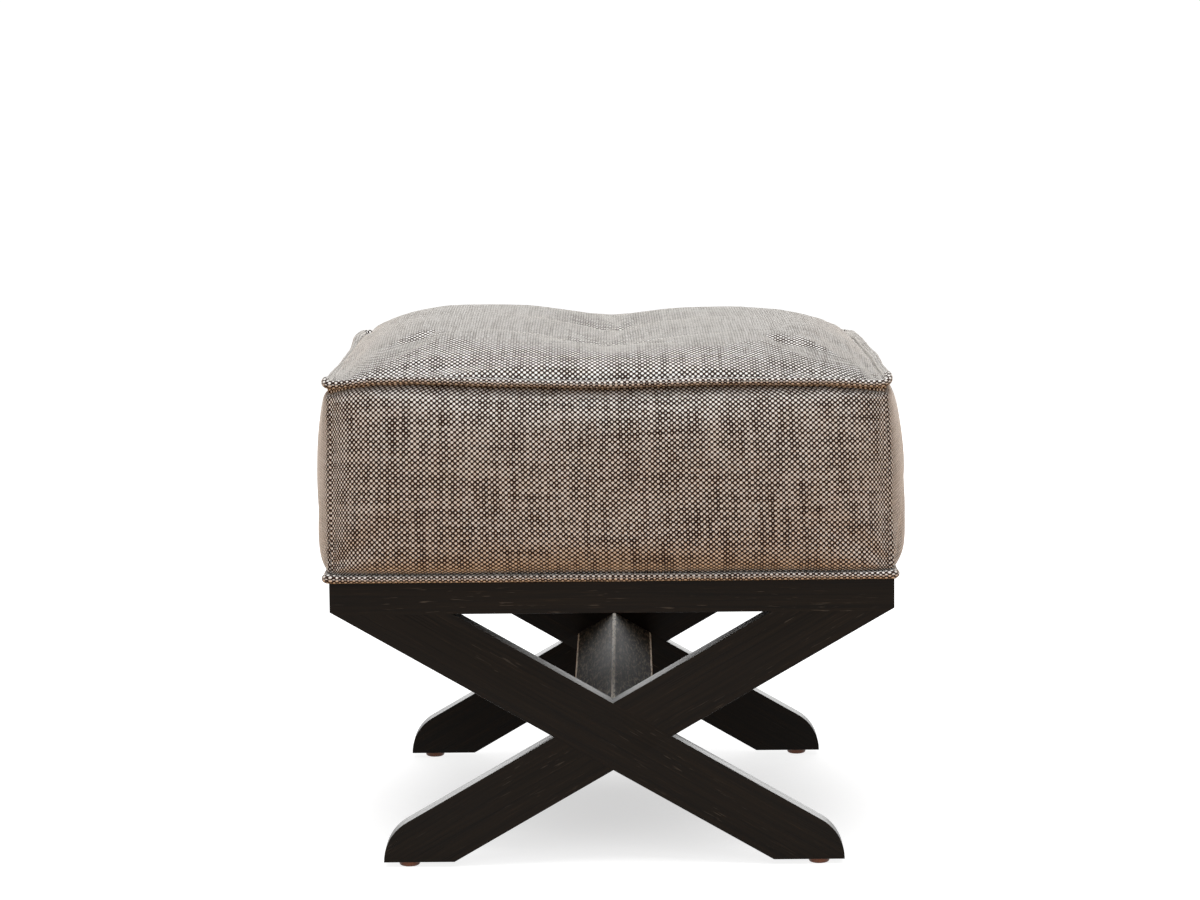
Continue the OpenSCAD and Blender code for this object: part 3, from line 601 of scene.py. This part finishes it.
inner_scale = hollow_half / hollow_share
x, y = (np.where(inner, plain[:, n] * inner_scale, p) for n, p in enumerate((x, y)))
z = np.where(inner, np.where(row > 0, hollow_height, rim_height), z)
body = np.column_stack([x, y, z])
cushion.data.vertices.foreach_set("co", body.ravel())
cushion.data.update()

# The cloth lies flat panel by panel in its map, in metres, with the hollow's lining beside it
panel_corners = np.array(
    [[0.01, 0.01], [0.01, 0.60], [0.01, 0.83], [0.62, 0.01], [0.62, 0.24], [0, 0]])
lining_half, lining_middle = 0.26, (0.86, 0.78)
ceiling_share, wall_share, rim_share = 0.55, 0.72, 0.82
map_size = 1.2
loops = np.empty(len(cushion.data.loops), int)
cushion.data.loops.foreach_get("vertex_index", loops)
loop_face = np.repeat(np.arange(len(facing)), [f.loop_total for f in cushion.data.polygons])
column_at, row_back = (
    np.rint((np.clip(plain[:, n], -1, 1) + 1) / 2 * columns).astype(int) for n in (0, 1))


def run_of(chosen, order):
    """Length along a line of points, in their order"""
    line = body[chosen][np.argsort(order[chosen])]
    return np.concatenate([[0], np.cumsum(np.linalg.norm(np.diff(line, axis=0), axis=1))])


middle = columns // 2
run_x = run_of(on_top & (row_back == middle - 9), column_at)
run_y = run_of(on_top & (column_at == middle // 2), row_back)
run_up = run_of((column_at == middle // 2) & (row_back == 0) & on_end, row)
panel = np.select(
    [facing[:, 2] > 0.9, facing[:, 1] < -0.9, facing[:, 0] > 0.9, facing[:, 1] > 0.9,
     facing[:, 0] < -0.9], [0, 1, 2, 3, 4], 5)
inner_face = np.zeros(len(facing), bool)
np.logical_or.at(inner_face, loop_face, inner[loops])
panel[inner_face] = 5
which = panel[loop_face]
i, j, k = column_at[loops], row_back[loops], row[loops]
across_run = np.select([which == n for n in range(5)],
                       [run_x[i], run_x[i], run_y[j], run_x[columns - i], run_y[columns - j]])
up_run = np.where(which == 0, run_y[j], run_up[np.clip(k, 0, rows)])
cloth = np.column_stack([across_run, up_run]) + panel_corners[which]
share = np.select([inner & (row > 0), inner], [ceiling_share, wall_share], rim_share)
lining = plain[:, :2] * (lining_half * share)[:, None] + lining_middle
cloth = np.where((which == 5)[:, None], lining[loops], cloth)
for name, scale in (("cloth", 1), ("OFBake", 1 / map_size)):
    layer = cushion.data.uv_layers.get(name) or cushion.data.uv_layers.new(name=name)
    layer.data.foreach_set("uv", (cloth * scale).astype(np.float32).ravel())
for layer in [layer for layer in cushion.data.uv_layers if layer.name not in ("cloth", "OFBake")]:
    cushion.data.uv_layers.remove(layer)

# The filling is pushed in: the cloth starts a little slack, is blown tight, and moves only so far
slack, most_move = 2.5 * mm, 4.5 * mm
pressure, moments = 4, 20
tuft_hold = 18 * mm
near_tuft = np.min([np.hypot(x - t.x, y - t.y) for t in tuft_places], axis=0)
tied = np.exp(-(near_tuft / tuft_hold) ** 2)
free = np.where(on_top, (1 - a ** 8) * (1 - b ** 8) * (1 - tied),
                (1 - np.where(on_side, b, a) ** 8) * (1 - (2 * height - 1) ** 8))
free = np.where(inner | (row == 0) | (on_side & on_end), 0, free)
normals = np.array([v.normal for v in cushion.data.vertices])
start = body - normals * (slack * free)[:, None]
cushion.data.vertices.foreach_set("co", start.ravel())
cushion.data.update()
sewn = cushion.vertex_groups.new(name="sewn")
sewn.add(np.where(free < 0.02)[0].tolist(), 1.0, "REPLACE")
sewn.add(np.where(on_top & (near_tuft < button_seat))[0].tolist(), 1.0, "REPLACE")
filling = cushion.modifiers.new("filling", "CLOTH")
filling.settings.vertex_group_mass = "sewn"
filling.settings.use_pressure = True
filling.settings.uniform_pressure_force = pressure
filling.settings.effector_weights.gravity = 0
for moment in range(1, moments + 1):
    bpy.context.scene.frame_set(moment)
blown = cushion.evaluated_get(bpy.context.evaluated_depsgraph_get())
move = np.array([v.co for v in blown.data.vertices]) - start
length = np.linalg.norm(move, axis=1, keepdims=True)
body = start + move * np.minimum(1, most_move / np.maximum(length, 1e-9))
cushion.modifiers.remove(filling)
cushion.vertex_groups.remove(sewn)
bpy.context.scene.frame_set(1)

# The seams pull the cloth in: a groove down each corner, and small puckers beside every seam
cushion.data.vertices.foreach_set("co", body.ravel())
cushion.data.update()
normals = np.array([v.normal for v in cushion.data.vertices])
side_half, top_half = 260 * mm, 255 * mm
corner_gap = (1 - np.abs(np.where(on_side, b, a))) * side_half
top_gap = np.minimum(1 - np.abs(a), 1 - np.abs(b)) * top_half
seam_gap = np.maximum(np.where(on_top, top_gap, panel_top - z), 0)
beside = np.where(on_side | (on_top & (np.abs(a) > np.abs(b))), y, x)


def puckers(gap, place, pitch, decay):
    """Waves along a seam that die out with the distance from it"""
    wave = np.sin(math.tau * place / pitch + 2.2 * np.sin(place / (61 * mm)))
    return wave * np.exp(-gap / decay) * (1 - np.exp(-gap / (2.5 * mm)))


wall = ~on_top & ~inner & (row > 0)
corner_puckers = 0.8 * mm * puckers(corner_gap, z, 17 * mm, 9 * mm)
seam_puckers = 0.7 * mm * puckers(seam_gap, beside, 27 * mm, 11 * mm)
lumps = np.sin(x / (31 * mm) + 1.7 * np.sin(y / (43 * mm))) * np.sin(y / (37 * mm) + z / (19 * mm))
lumps = 0.5 * mm * lumps * np.minimum(1, seam_gap / (20 * mm))
relief = np.where(wall, corner_puckers, 0) + np.where(wall | on_top, seam_puckers + lumps, 0)
body = body + normals * relief[:, None]
corner_line = (on_side & on_end & wall)[:, None]
outward = np.column_stack([np.sign(a), np.sign(b), 0 * a])
body = body - corner_line * outward * corner_notch
cushion.data.vertices.foreach_set("co", body.ravel())
cushion.data.update()

bpy.ops.object.mode_set(mode="EDIT")
bpy.ops.mesh.select_all(action="DESELECT")
bpy.ops.mesh.edges_select_sharp(sharpness=math.radians(50))
bpy.ops.transform.edge_crease(value=0.9)
bpy.ops.mesh.select_mode(type="FACE")
bpy.ops.mesh.select_all(action="DESELECT")
bpy.ops.mesh.select_face_by_sides(number=4, type="GREATER")
bpy.ops.mesh.delete(type="ONLY_FACE")
bpy.ops.object.mode_set(mode="OBJECT")
bpy.ops.object.modifier_add(type="SUBSURF")
cushion.modifiers[-1].levels = cushion.modifiers[-1].render_levels = 1
bpy.ops.object.modifier_apply(modifier=cushion.modifiers[-1].name)
bpy.ops.object.mode_set(mode="EDIT")
bpy.ops.mesh.select_mode(type="EDGE")
bpy.ops.mesh.select_all(action="DESELECT")
bpy.ops.mesh.select_non_manifold()
bpy.ops.mesh.edge_face_add()
bpy.ops.mesh.select_all(action="SELECT")
bpy.ops.mesh.normals_make_consistent(inside=False)
bpy.ops.object.mode_set(mode="OBJECT")
bpy.ops.object.shade_smooth()
ceiling = max(cushion.data.polygons, key=lambda face: face.loop_total)
for corner in ceiling.loop_indices:
    place = cushion.data.vertices[cushion.data.loops[corner].vertex_index].co
    u, v = (lining_half * ceiling_share / inner_scale * place[n] + lining_middle[n]
            for n in (0, 1))
    cushion.data.uv_layers["cloth"].data[corner].uv = (u, v)
    cushion.data.uv_layers["OFBake"].data[corner].uv = (u / map_size, v / map_size)
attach(cushion, "root")
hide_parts("foam_core", "padding_wrap", "top_panel", "front_side_panel",
            "rear_side_panel", "left_side_panel", "right_side_panel")


def plain_weave(name):
    """Cream and brown yarns in a chunky plain weave, read from the flat map of the cloth"""
    end_pitch, pick_pitch = 2.58 * mm, 2.43 * mm
    made, tree, shader = finish_of(name)
    at = put(tree, "SeparateXYZ", {0: put(tree, "UVMap", uv_map="cloth").outputs[0]})
    across, upward_run = at.outputs[0], at.outputs[1]
    flat = put(tree, "CombineXYZ", {0: across, 1: upward_run}).outputs[0]
    # The yarns stray by up to about one pitch, so that no row runs as if ruled
    drift = put(tree, "TexNoise", {"Vector": flat, "Scale": 9, "Detail": 1}).outputs["Color"]
    drift = put(tree, "SeparateXYZ", {0: drift}).outputs
    x, y = (maths(tree, "MULTIPLY_ADD", run, 1 / pitch, maths(tree, "MULTIPLY", strayed, 1.2))
            for run, pitch, strayed in (
                (across, end_pitch, drift[0]), (upward_run, pick_pitch, drift[1])))
    end_no, pick_no = maths(tree, "FLOOR", x), maths(tree, "FLOOR", y)
    fx = maths(tree, "SUBTRACT", maths(tree, "SUBTRACT", x, end_no), 0.5)
    fy = maths(tree, "SUBTRACT", maths(tree, "SUBTRACT", y, pick_no), 0.5)
    over = maths(tree, "FLOORED_MODULO", maths(tree, "ADD", end_no, pick_no), 2.0)

    # Slubs: each yarn runs thicker and thinner along its length, and each float differs a little
    end_line = put(tree, "CombineXYZ", {0: maths(tree, "MULTIPLY", end_no, 7.31),
                                        1: maths(tree, "MULTIPLY", upward_run, 14.0)}).outputs[0]
    pick_line = put(tree, "CombineXYZ", {0: maths(tree, "MULTIPLY", across, 11.0),
                                         1: maths(tree, "MULTIPLY", pick_no, 5.17),
                                         2: 9.0}).outputs[0]
    end_slub, pick_slub = noise(tree, end_line), noise(tree, pick_line)
    cell = put(tree, "CombineXYZ", {0: end_no, 1: pick_no}).outputs[0]
    chance = put(tree, "TexWhiteNoise", {"Vector": cell}, noise_dimensions="2D").outputs["Value"]
    fat = maths(tree, "MULTIPLY_ADD", end_slub, 0.95, 0.545)
    fat = maths(tree, "MULTIPLY_ADD", pick_slub, -0.7, maths(tree, "ADD", fat, 0.35))
    fat = maths(tree, "MULTIPLY_ADD", maths(tree, "SUBTRACT", chance, 0.5), 0.18, fat)
    for reach_across, reach_up, amount in ((90, 17, 0.36), (11, 130, 0.30)):
        group = put(tree, "CombineXYZ", {0: maths(tree, "MULTIPLY", across, reach_across),
                                         1: maths(tree, "MULTIPLY", upward_run, reach_up),
                                         2: reach_up}).outputs[0]
        group = maths(tree, "SUBTRACT", noise(tree, group), 0.5)
        fat = maths(tree, "MULTIPLY_ADD", group, amount, fat)

    def from_middle(half_x, half_y, size):
        """Distance from the middle of a float, 1 at its edge"""
        dx, dy = maths(tree, "DIVIDE", fx, half_x), maths(tree, "DIVIDE", fy, half_y)
        square = maths(tree, "MULTIPLY_ADD", dx, dx, maths(tree, "MULTIPLY", dy, dy))
        return maths(tree, "DIVIDE", maths(tree, "SQRT", square), size)

    cream_edge, brown_edge = from_middle(0.50, 0.53, fat), from_middle(0.50, 0.46, 1.0)
    cream_seen = ranged(tree, cream_edge, (1.08, 0.80), interpolation_type="SMOOTHSTEP")
    cream_seen = maths(tree, "MULTIPLY", cream_seen, over)
    blotch = noise(tree, flat, 45, 3)
    mixed = maths(tree, "MULTIPLY_ADD", chance, 0.5, maths(tree, "MULTIPLY", blotch, 0.5))
    cream = blend(tree, mixed, cream_dull, cream_bright)
    brown = blend(tree, mixed, brown_deep, brown_pale)
    # Painted shade: each brown float darkens towards its edges, into the gaps between the yarns
    brown_clear_of_shade = ranged(tree, brown_edge, (1.1, 0.5), (0.35, 1.0))
    brown = blend(tree, brown_clear_of_shade, painted_shade_between_yarns, brown)

    cream_dome, brown_dome = (
        maths(tree, "MULTIPLY_ADD", maths(tree, "MULTIPLY", edge, edge), fall, top)
        for edge, fall, top in ((cream_edge, -0.6, 1.0), (brown_edge, -0.5, 0.8)))
    brown_dome = maths(tree, "MULTIPLY", maths(tree, "SUBTRACT", 1.0, over), brown_dome)
    domes = maths(tree, "MAXIMUM", maths(tree, "MULTIPLY", cream_seen, cream_dome), brown_dome)
    fill_in(tree, shader, {"Base Color": blend(tree, cream_seen, brown, cream),
                           "Normal": bumps(tree, domes, 0.65, 0.4 * mm), "Roughness": 0.9,
                           "Specular IOR Level": 0.04, "Sheen Weight": 1.0,
                           "Sheen Roughness": 0.45, "Sheen Tint": (0.95, 0.91, 0.85, 1)})
    return made


cream_dull = (0.86, 0.82, 0.77, 1)
cream_bright = (0.98, 0.98, 0.97, 1)
brown_deep = (0.018, 0.007, 0.005, 1)
brown_pale = (0.058, 0.026, 0.018, 1)
# Painted shade in the gaps between the yarns
painted_shade_between_yarns = (0.005, 0.003, 0.002, 1)
cover_cloth = plain_weave("cream and brown plain weave")
cushion.data.materials.append(cover_cloth)


# ---- The welts: straight-grain strips of the cover cloth, sewn round twisted cotton cords.
# The top one follows the wandering seam and stands up at the front corners. The bottom one lies
# on the rails, and its flange is nipped between them and the seat frame.
top_welt_radius = 3.5 * mm
bottom_welt_radius = 3.5 * mm
welt_wall = 1.1 * mm
ear_reach = 12 * mm
welt_rounding = 8 * mm
welt_step = 3 * mm
around_welt, around_cord = 16, 10
cord_gap = 0.1 * mm
strip_rows = 10
wheel_radius = 3
flange_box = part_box("bottom_welt")
flange_thick = 0.9 * mm
flange_inner = 232 * mm


def line_round(corners):
    """Points round a welt in plan, anticlockwise from the front left corner"""
    line = []
    for n, corner in enumerate(corners):
        before, after = corners[n - 1], corners[(n + 1) % 4]
        into, out = (step / np.linalg.norm(step) for step in (corner - before, after - corner))
        centre = corner - welt_rounding * into + welt_rounding * out
        for turn in np.linspace(0, np.pi / 2, 9):
            line.append(centre + welt_rounding * (into * np.sin(turn) - out * np.cos(turn)))
        stretch = np.linalg.norm(after - corner)
        inset = welt_rounding / stretch
        shares = np.linspace(inset, 1 - inset, int(stretch / welt_step))
        line.extend(between(corner, after, share) for share in shares[1:-1])
    return np.array(line)


def round_body(name, path, radius, slots):
    """A round body that follows a closed path, mapped flat in metres, in rows"""
    rings = len(path)
    bpy.ops.object.select_all(action="DESELECT")
    bpy.ops.mesh.primitive_circle_add(vertices=slots, radius=1)
    made = bpy.context.object
    made.name = made.data.name = name
    bpy.ops.object.mode_set(mode="EDIT")
    bpy.ops.transform.rotate(value=math.radians(90), orient_axis="X", center_override=(0, 0, 0))
    bpy.ops.transform.translate(value=(wheel_radius, 0, 0))
    bpy.ops.mesh.spin(steps=rings, angle=math.tau, center=(0, 0, 0), axis=(0, 0, 1),
                      use_auto_merge=True)
    bpy.ops.mesh.select_all(action="SELECT")
    bpy.ops.mesh.remove_doubles(threshold=0.0001)
    bpy.ops.mesh.normals_make_consistent(inside=False)
    bpy.ops.object.mode_set(mode="OBJECT")
    wheel = np.array([v.co for v in made.data.vertices])
    ring_at = np.rint(np.arctan2(wheel[:, 1], wheel[:, 0]) / math.tau * rings).astype(int) % rings
    slot_at = np.arctan2(wheel[:, 2], np.hypot(wheel[:, 0], wheel[:, 1]) - wheel_radius)
    slot_at = slot_at / math.tau * slots
    slot_at = np.rint(slot_at).astype(int) % slots
    ahead_of = np.roll(path, -1, axis=0) - np.roll(path, 1, axis=0)
    ahead_of /= np.linalg.norm(ahead_of, axis=1, keepdims=True)
    outward = np.cross(ahead_of, (0, 0, 1.0))
    outward /= np.linalg.norm(outward, axis=1, keepdims=True)
    upright = np.cross(outward, ahead_of)
    turn = (math.tau * slot_at / slots)[:, None]
    skin = path[ring_at] + radius[ring_at][:, None] * (
        outward[ring_at] * np.cos(turn) + upright[ring_at] * np.sin(turn))
    made.data.vertices.foreach_set("co", skin.ravel())
    made.data.update()

    run = np.concatenate([[0], np.cumsum(np.linalg.norm(np.roll(path, -1, axis=0) - path, axis=1))])
    girth = math.tau * np.median(radius)
    index = np.empty(len(made.data.loops), int)
    made.data.loops.foreach_get("vertex_index", index)
    ring, slot = ring_at[index].reshape(-1, 4), slot_at[index].reshape(-1, 4)
    for part, last in ((ring, rings), (slot, slots)):
        wraps = (part.max(axis=1) - part.min(axis=1) > 1)[:, None] & (part == 0)
        part[wraps] = last
    flat = np.stack([run[ring], girth * slot / slots], axis=2)
    row_of_face = (ring.min(axis=1) * strip_rows // rings)[:, None]
    first_ring = -(-row_of_face * rings // strip_rows)
    row_length = run[-1] / strip_rows * 1.02 + 2 * welt_step
    packed = np.stack([(flat[:, :, 0] - run[first_ring] + welt_step) / row_length,
                       (row_of_face + 0.05 + 0.9 * slot / slots) / strip_rows / 2], axis=2)
    for layer_name, layout in (("cloth", flat), ("OFBake", packed)):
        layer = made.data.uv_layers.new(name=layer_name)
        layer.data.foreach_set("uv", layout.astype(np.float32).ravel())
    bpy.ops.object.shade_smooth()
    return made


def welt(name, cord_name, line, heights, radius, ears):
    """A welt and its cord; ears say where it stands up, how far, and how much thicker it is"""
    from_ear = np.linalg.norm(line[:, None] - np.array(ears["at"])[None], axis=2)
    corner_near = np.exp(-(from_ear / ear_reach) ** 2)
    path = np.column_stack([line, heights + corner_near @ np.array(ears["rise"])])
    run = np.arange(len(line)) * welt_step
    uneven = 1 + 0.04 * np.sin(run / (23 * mm) + 1.3) + 0.03 * np.sin(run / (9 * mm) + 0.4)
    thick = radius * (uneven + corner_near @ np.array(ears["bulk"]))
    cover = round_body(name, path, thick, around_welt)
    bpy.ops.object.modifier_add(type="SOLIDIFY")
    cover.modifiers[-1].thickness = welt_wall
    cover.modifiers[-1].offset = -1
    bpy.ops.object.modifier_apply(modifier=cover.modifiers[-1].name)
    uv = cover.data.uv_layers["OFBake"].data
    for loop in range(len(uv) // 2, len(uv)):
        uv[loop].uv.y += 0.5
    cover.data.materials.append(cover_cloth)
    cord = round_body(cord_name, path, thick - welt_wall - cord_gap, around_cord)
    cord.data.materials.append(twisted_cotton)
    for piece, slot in ((cover, "cover_fabric"), (cord, "cord")):
        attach(piece, "root")
    return cover, cord


twisted_cotton, tree, shader = finish_of("twisted cotton cord")
strands = put(tree, "SeparateXYZ", {0: put(tree, "UVMap", uv_map="cloth").outputs[0]}).outputs
ply = maths(tree, "MULTIPLY_ADD", strands[0], math.tau / (4.5 * mm), maths(
    tree, "MULTIPLY", strands[1], math.tau / (4.6 * mm)))
ply = maths(tree, "MULTIPLY_ADD", maths(tree, "SINE", ply), 0.5, 0.5)
colour = blend(tree, ply, (0.34, 0.29, 0.21, 1), (0.70, 0.65, 0.54, 1))
fill_in(tree, shader, {"Base Color": colour, "Roughness": 0.85,
                       "Normal": bumps(tree, ply, 0.6, 0.3 * mm)})

line = line_round(top_corners + 1.5 * mm * np.sign(top_corners))
a = np.clip(np.interp(line[:, 0], (top_corners[0, 0], top_corners[1, 0]), (-1, 1)), -1, 1)
b = np.clip(np.interp(line[:, 1], (top_corners[0, 1], top_corners[2, 1]), (-1, 1)), -1, 1)
top_welt, top_cord = welt(
    "top_welt_cover", "top_welt_cord", line, seam_at(a, b), top_welt_radius,
    {"at": top_corners + np.array([[0, 9], [0, 10], [0, 0], [0, 0]]) * mm,
     "rise": [3.4 * mm, 4.6 * mm, 0, 0.5 * mm], "bulk": [0.12, 0.12, 0.1, 0.1]})
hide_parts("top_welt")
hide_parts("top_piping_cord")

line = line_round(low_corners + 3.2 * mm * np.sign(low_corners))
bottom_height = rim_height - rim_rise + bottom_welt_radius + 0.1 * mm
bottom_welt, bottom_cord = welt(
    "bottom_welt_cover", "bottom_welt_cord", line, np.full(len(line), bottom_height),
    bottom_welt_radius, {"at": low_corners, "rise": [0.5 * mm] * 4, "bulk": [0.18] * 4})
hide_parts("bottom_welt")
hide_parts("bottom_piping_cord")

flange_outer = flange_box[1].x - 2.5 * mm
bpy.ops.object.select_all(action="DESELECT")
bpy.ops.mesh.primitive_plane_add(size=2)
flange = bpy.context.object
flange.name = flange.data.name = "bottom_welt_flange"
bpy.ops.object.mode_set(mode="EDIT")
bpy.ops.transform.resize(value=(flange_outer, flange_outer, 1), center_override=(0, 0, 0))
bpy.ops.transform.translate(value=(0, 0, flange_box[0].z + 0.05 * mm))
bpy.ops.mesh.inset(thickness=flange_outer - flange_inner)
bpy.ops.mesh.delete(type="FACE")
bpy.ops.mesh.select_all(action="SELECT")
bpy.ops.mesh.normals_make_consistent(inside=False)
bpy.ops.object.mode_set(mode="OBJECT")
flange.data.uv_layers.active.name = "cloth"
for corner in flange.data.loops:
    place = flange.data.vertices[corner.vertex_index].co
    flange.data.uv_layers["cloth"].data[corner.index].uv = (place.x + 0.3, place.y + 0.3)
bpy.ops.object.modifier_add(type="SOLIDIFY")
flange.modifiers[-1].thickness = flange_thick
flange.modifiers[-1].offset = 1
bpy.ops.object.modifier_apply(modifier=flange.modifiers[-1].name)
flange.data.materials.append(cover_cloth)
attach(flange, "root")
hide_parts("bottom_welt")


# ---- The tufts: three covered buttons, each tied down by waxed twine through the cushion and the
# webbing to a wooden toggle. A button is a domed shell with its cloth gathered under the rim.
button_low, button_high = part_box("centre_tuft_button")
button_radius = (button_high.x - button_low.x) / 2
button_rise = button_high.z - button_low.z
button_rim = 0.28
gathers, gather_depth = 14, 0.022

bpy.ops.object.select_all(action="DESELECT")
bpy.ops.mesh.primitive_uv_sphere_add(segments=56, ring_count=28, radius=1)
button = bpy.context.object
bpy.ops.object.shade_smooth()
round_form = np.array([v.co for v in button.data.vertices])
turn = np.arctan2(round_form[:, 1], round_form[:, 0])
up = round_form[:, 2]
dome = button_rim + (1 - button_rim) * np.maximum(up, 0) ** 1.1
lift = np.maximum(np.where(up >= 0, dome, button_rim * (1 + np.minimum(0, 3 * up))), 0)
spread = 1 + gather_depth * np.cos(gathers * turn) * np.exp(-(up / 0.35) ** 2)
button_form = np.column_stack([round_form[:, :2] * (button_radius * spread / 1.03)[:, None],
                               lift * button_rise])
button.data.vertices.foreach_set("co", button_form.ravel())
button.data.uv_layers.active.name = "cloth"
for corner in button.data.loops:
    n = corner.vertex_index
    fan = math.acos(max(-1, min(1, round_form[n, 2]))) * button_radius * 0.9
    button.data.uv_layers["cloth"].data[corner.index].uv = (
        0.05 + fan * math.cos(turn[n]), 0.05 + fan * math.sin(turn[n]))
button.data.materials.append(cover_cloth)
for name in ("front", "centre", "rear"):
    low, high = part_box(f"{name}_tuft_button")
    own = bpy.data.objects.new(f"{name}_covered_button", button.data.copy())
    bpy.context.scene.collection.objects.link(own)
    own.data.transform(Matrix.Translation(((low.x + high.x) / 2, (low.y + high.y) / 2, low.z)))
    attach(own, "root")
    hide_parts(f"{name}_tuft_button")
bpy.data.objects.remove(button)

waxed_twine, tree, shader = finish_of("waxed twine")
at = put(tree, "SeparateXYZ", {0: put(tree, "TexCoord").outputs["Object"]}).outputs
ply = maths(tree, "SINE", maths(tree, "MULTIPLY_ADD", at[2], math.tau / (3 * mm), maths(
    tree, "MULTIPLY", maths(tree, "ADD", at[0], at[1]), 2000)))
ply = maths(tree, "MULTIPLY_ADD", ply, 0.5, 0.5)
colour = blend(tree, ply, (0.40, 0.34, 0.24, 1), (0.72, 0.66, 0.52, 1))
fill_in(tree, shader, {"Base Color": colour, "Roughness": 0.6})
dress(["tuft_twines"], waxed_twine)


# ---- The dust cover: one piece of thin black spunbonded cloth, drawn tight under the seat frame
# between the crossed frames and tacked at its edges. It sags a little in the middle.
dust_low, dust_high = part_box("dust_cover")
dust_thick = 0.5 * mm
dust_sag = 4.5 * mm
pull_depth = 0.5 * mm

bpy.ops.object.select_all(action="DESELECT")
bpy.ops.mesh.primitive_grid_add(x_subdivisions=48, y_subdivisions=48, size=2)
dust_cloth = bpy.context.object
dust_cloth.name = dust_cloth.data.name = "dust_cloth"
flat_form = np.array([v.co for v in dust_cloth.data.vertices])
a, b = flat_form[:, 0], flat_form[:, 1]
sag = dust_sag * (1 - a ** 2) * (1 - b ** 2)
pull_lines = pull_depth * np.sin(9 * a + 2 * b) * np.sin(7 * b - 1.5 * a)
pull_lines = pull_lines * (1 - a ** 4) * (1 - b ** 4)
dust_form = np.column_stack([
    between(dust_low.x, dust_high.x, (a + 1) / 2), between(dust_low.y, dust_high.y, (b + 1) / 2),
    dust_high.z - 0.1 * mm - sag + pull_lines])
dust_cloth.data.vertices.foreach_set("co", dust_form.ravel())
bpy.ops.object.modifier_add(type="SOLIDIFY")
dust_cloth.modifiers[-1].thickness = dust_thick
dust_cloth.modifiers[-1].offset = -1
bpy.ops.object.modifier_apply(modifier=dust_cloth.modifiers[-1].name)
bpy.ops.object.shade_smooth()
dust_black, tree, shader = finish_of("black spunbonded cloth")
place = put(tree, "TexCoord").outputs["Object"]
fibres = noise(tree, place, 700, 4, 0.7)
bonds = put(tree, "TexVoronoi", {"Vector": place, "Scale": 650}).outputs["Distance"]
colour = blend(tree, fibres, (0.008, 0.008, 0.009, 1), (0.045, 0.045, 0.047, 1))
fill_in(tree, shader, {"Base Color": colour, "Roughness": 0.75,
                       "Normal": bumps(tree, bonds, 0.4, 0.2 * mm)})
dust_cloth.data.materials.append(dust_black)
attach(dust_cloth, "root")
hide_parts("dust_cover")
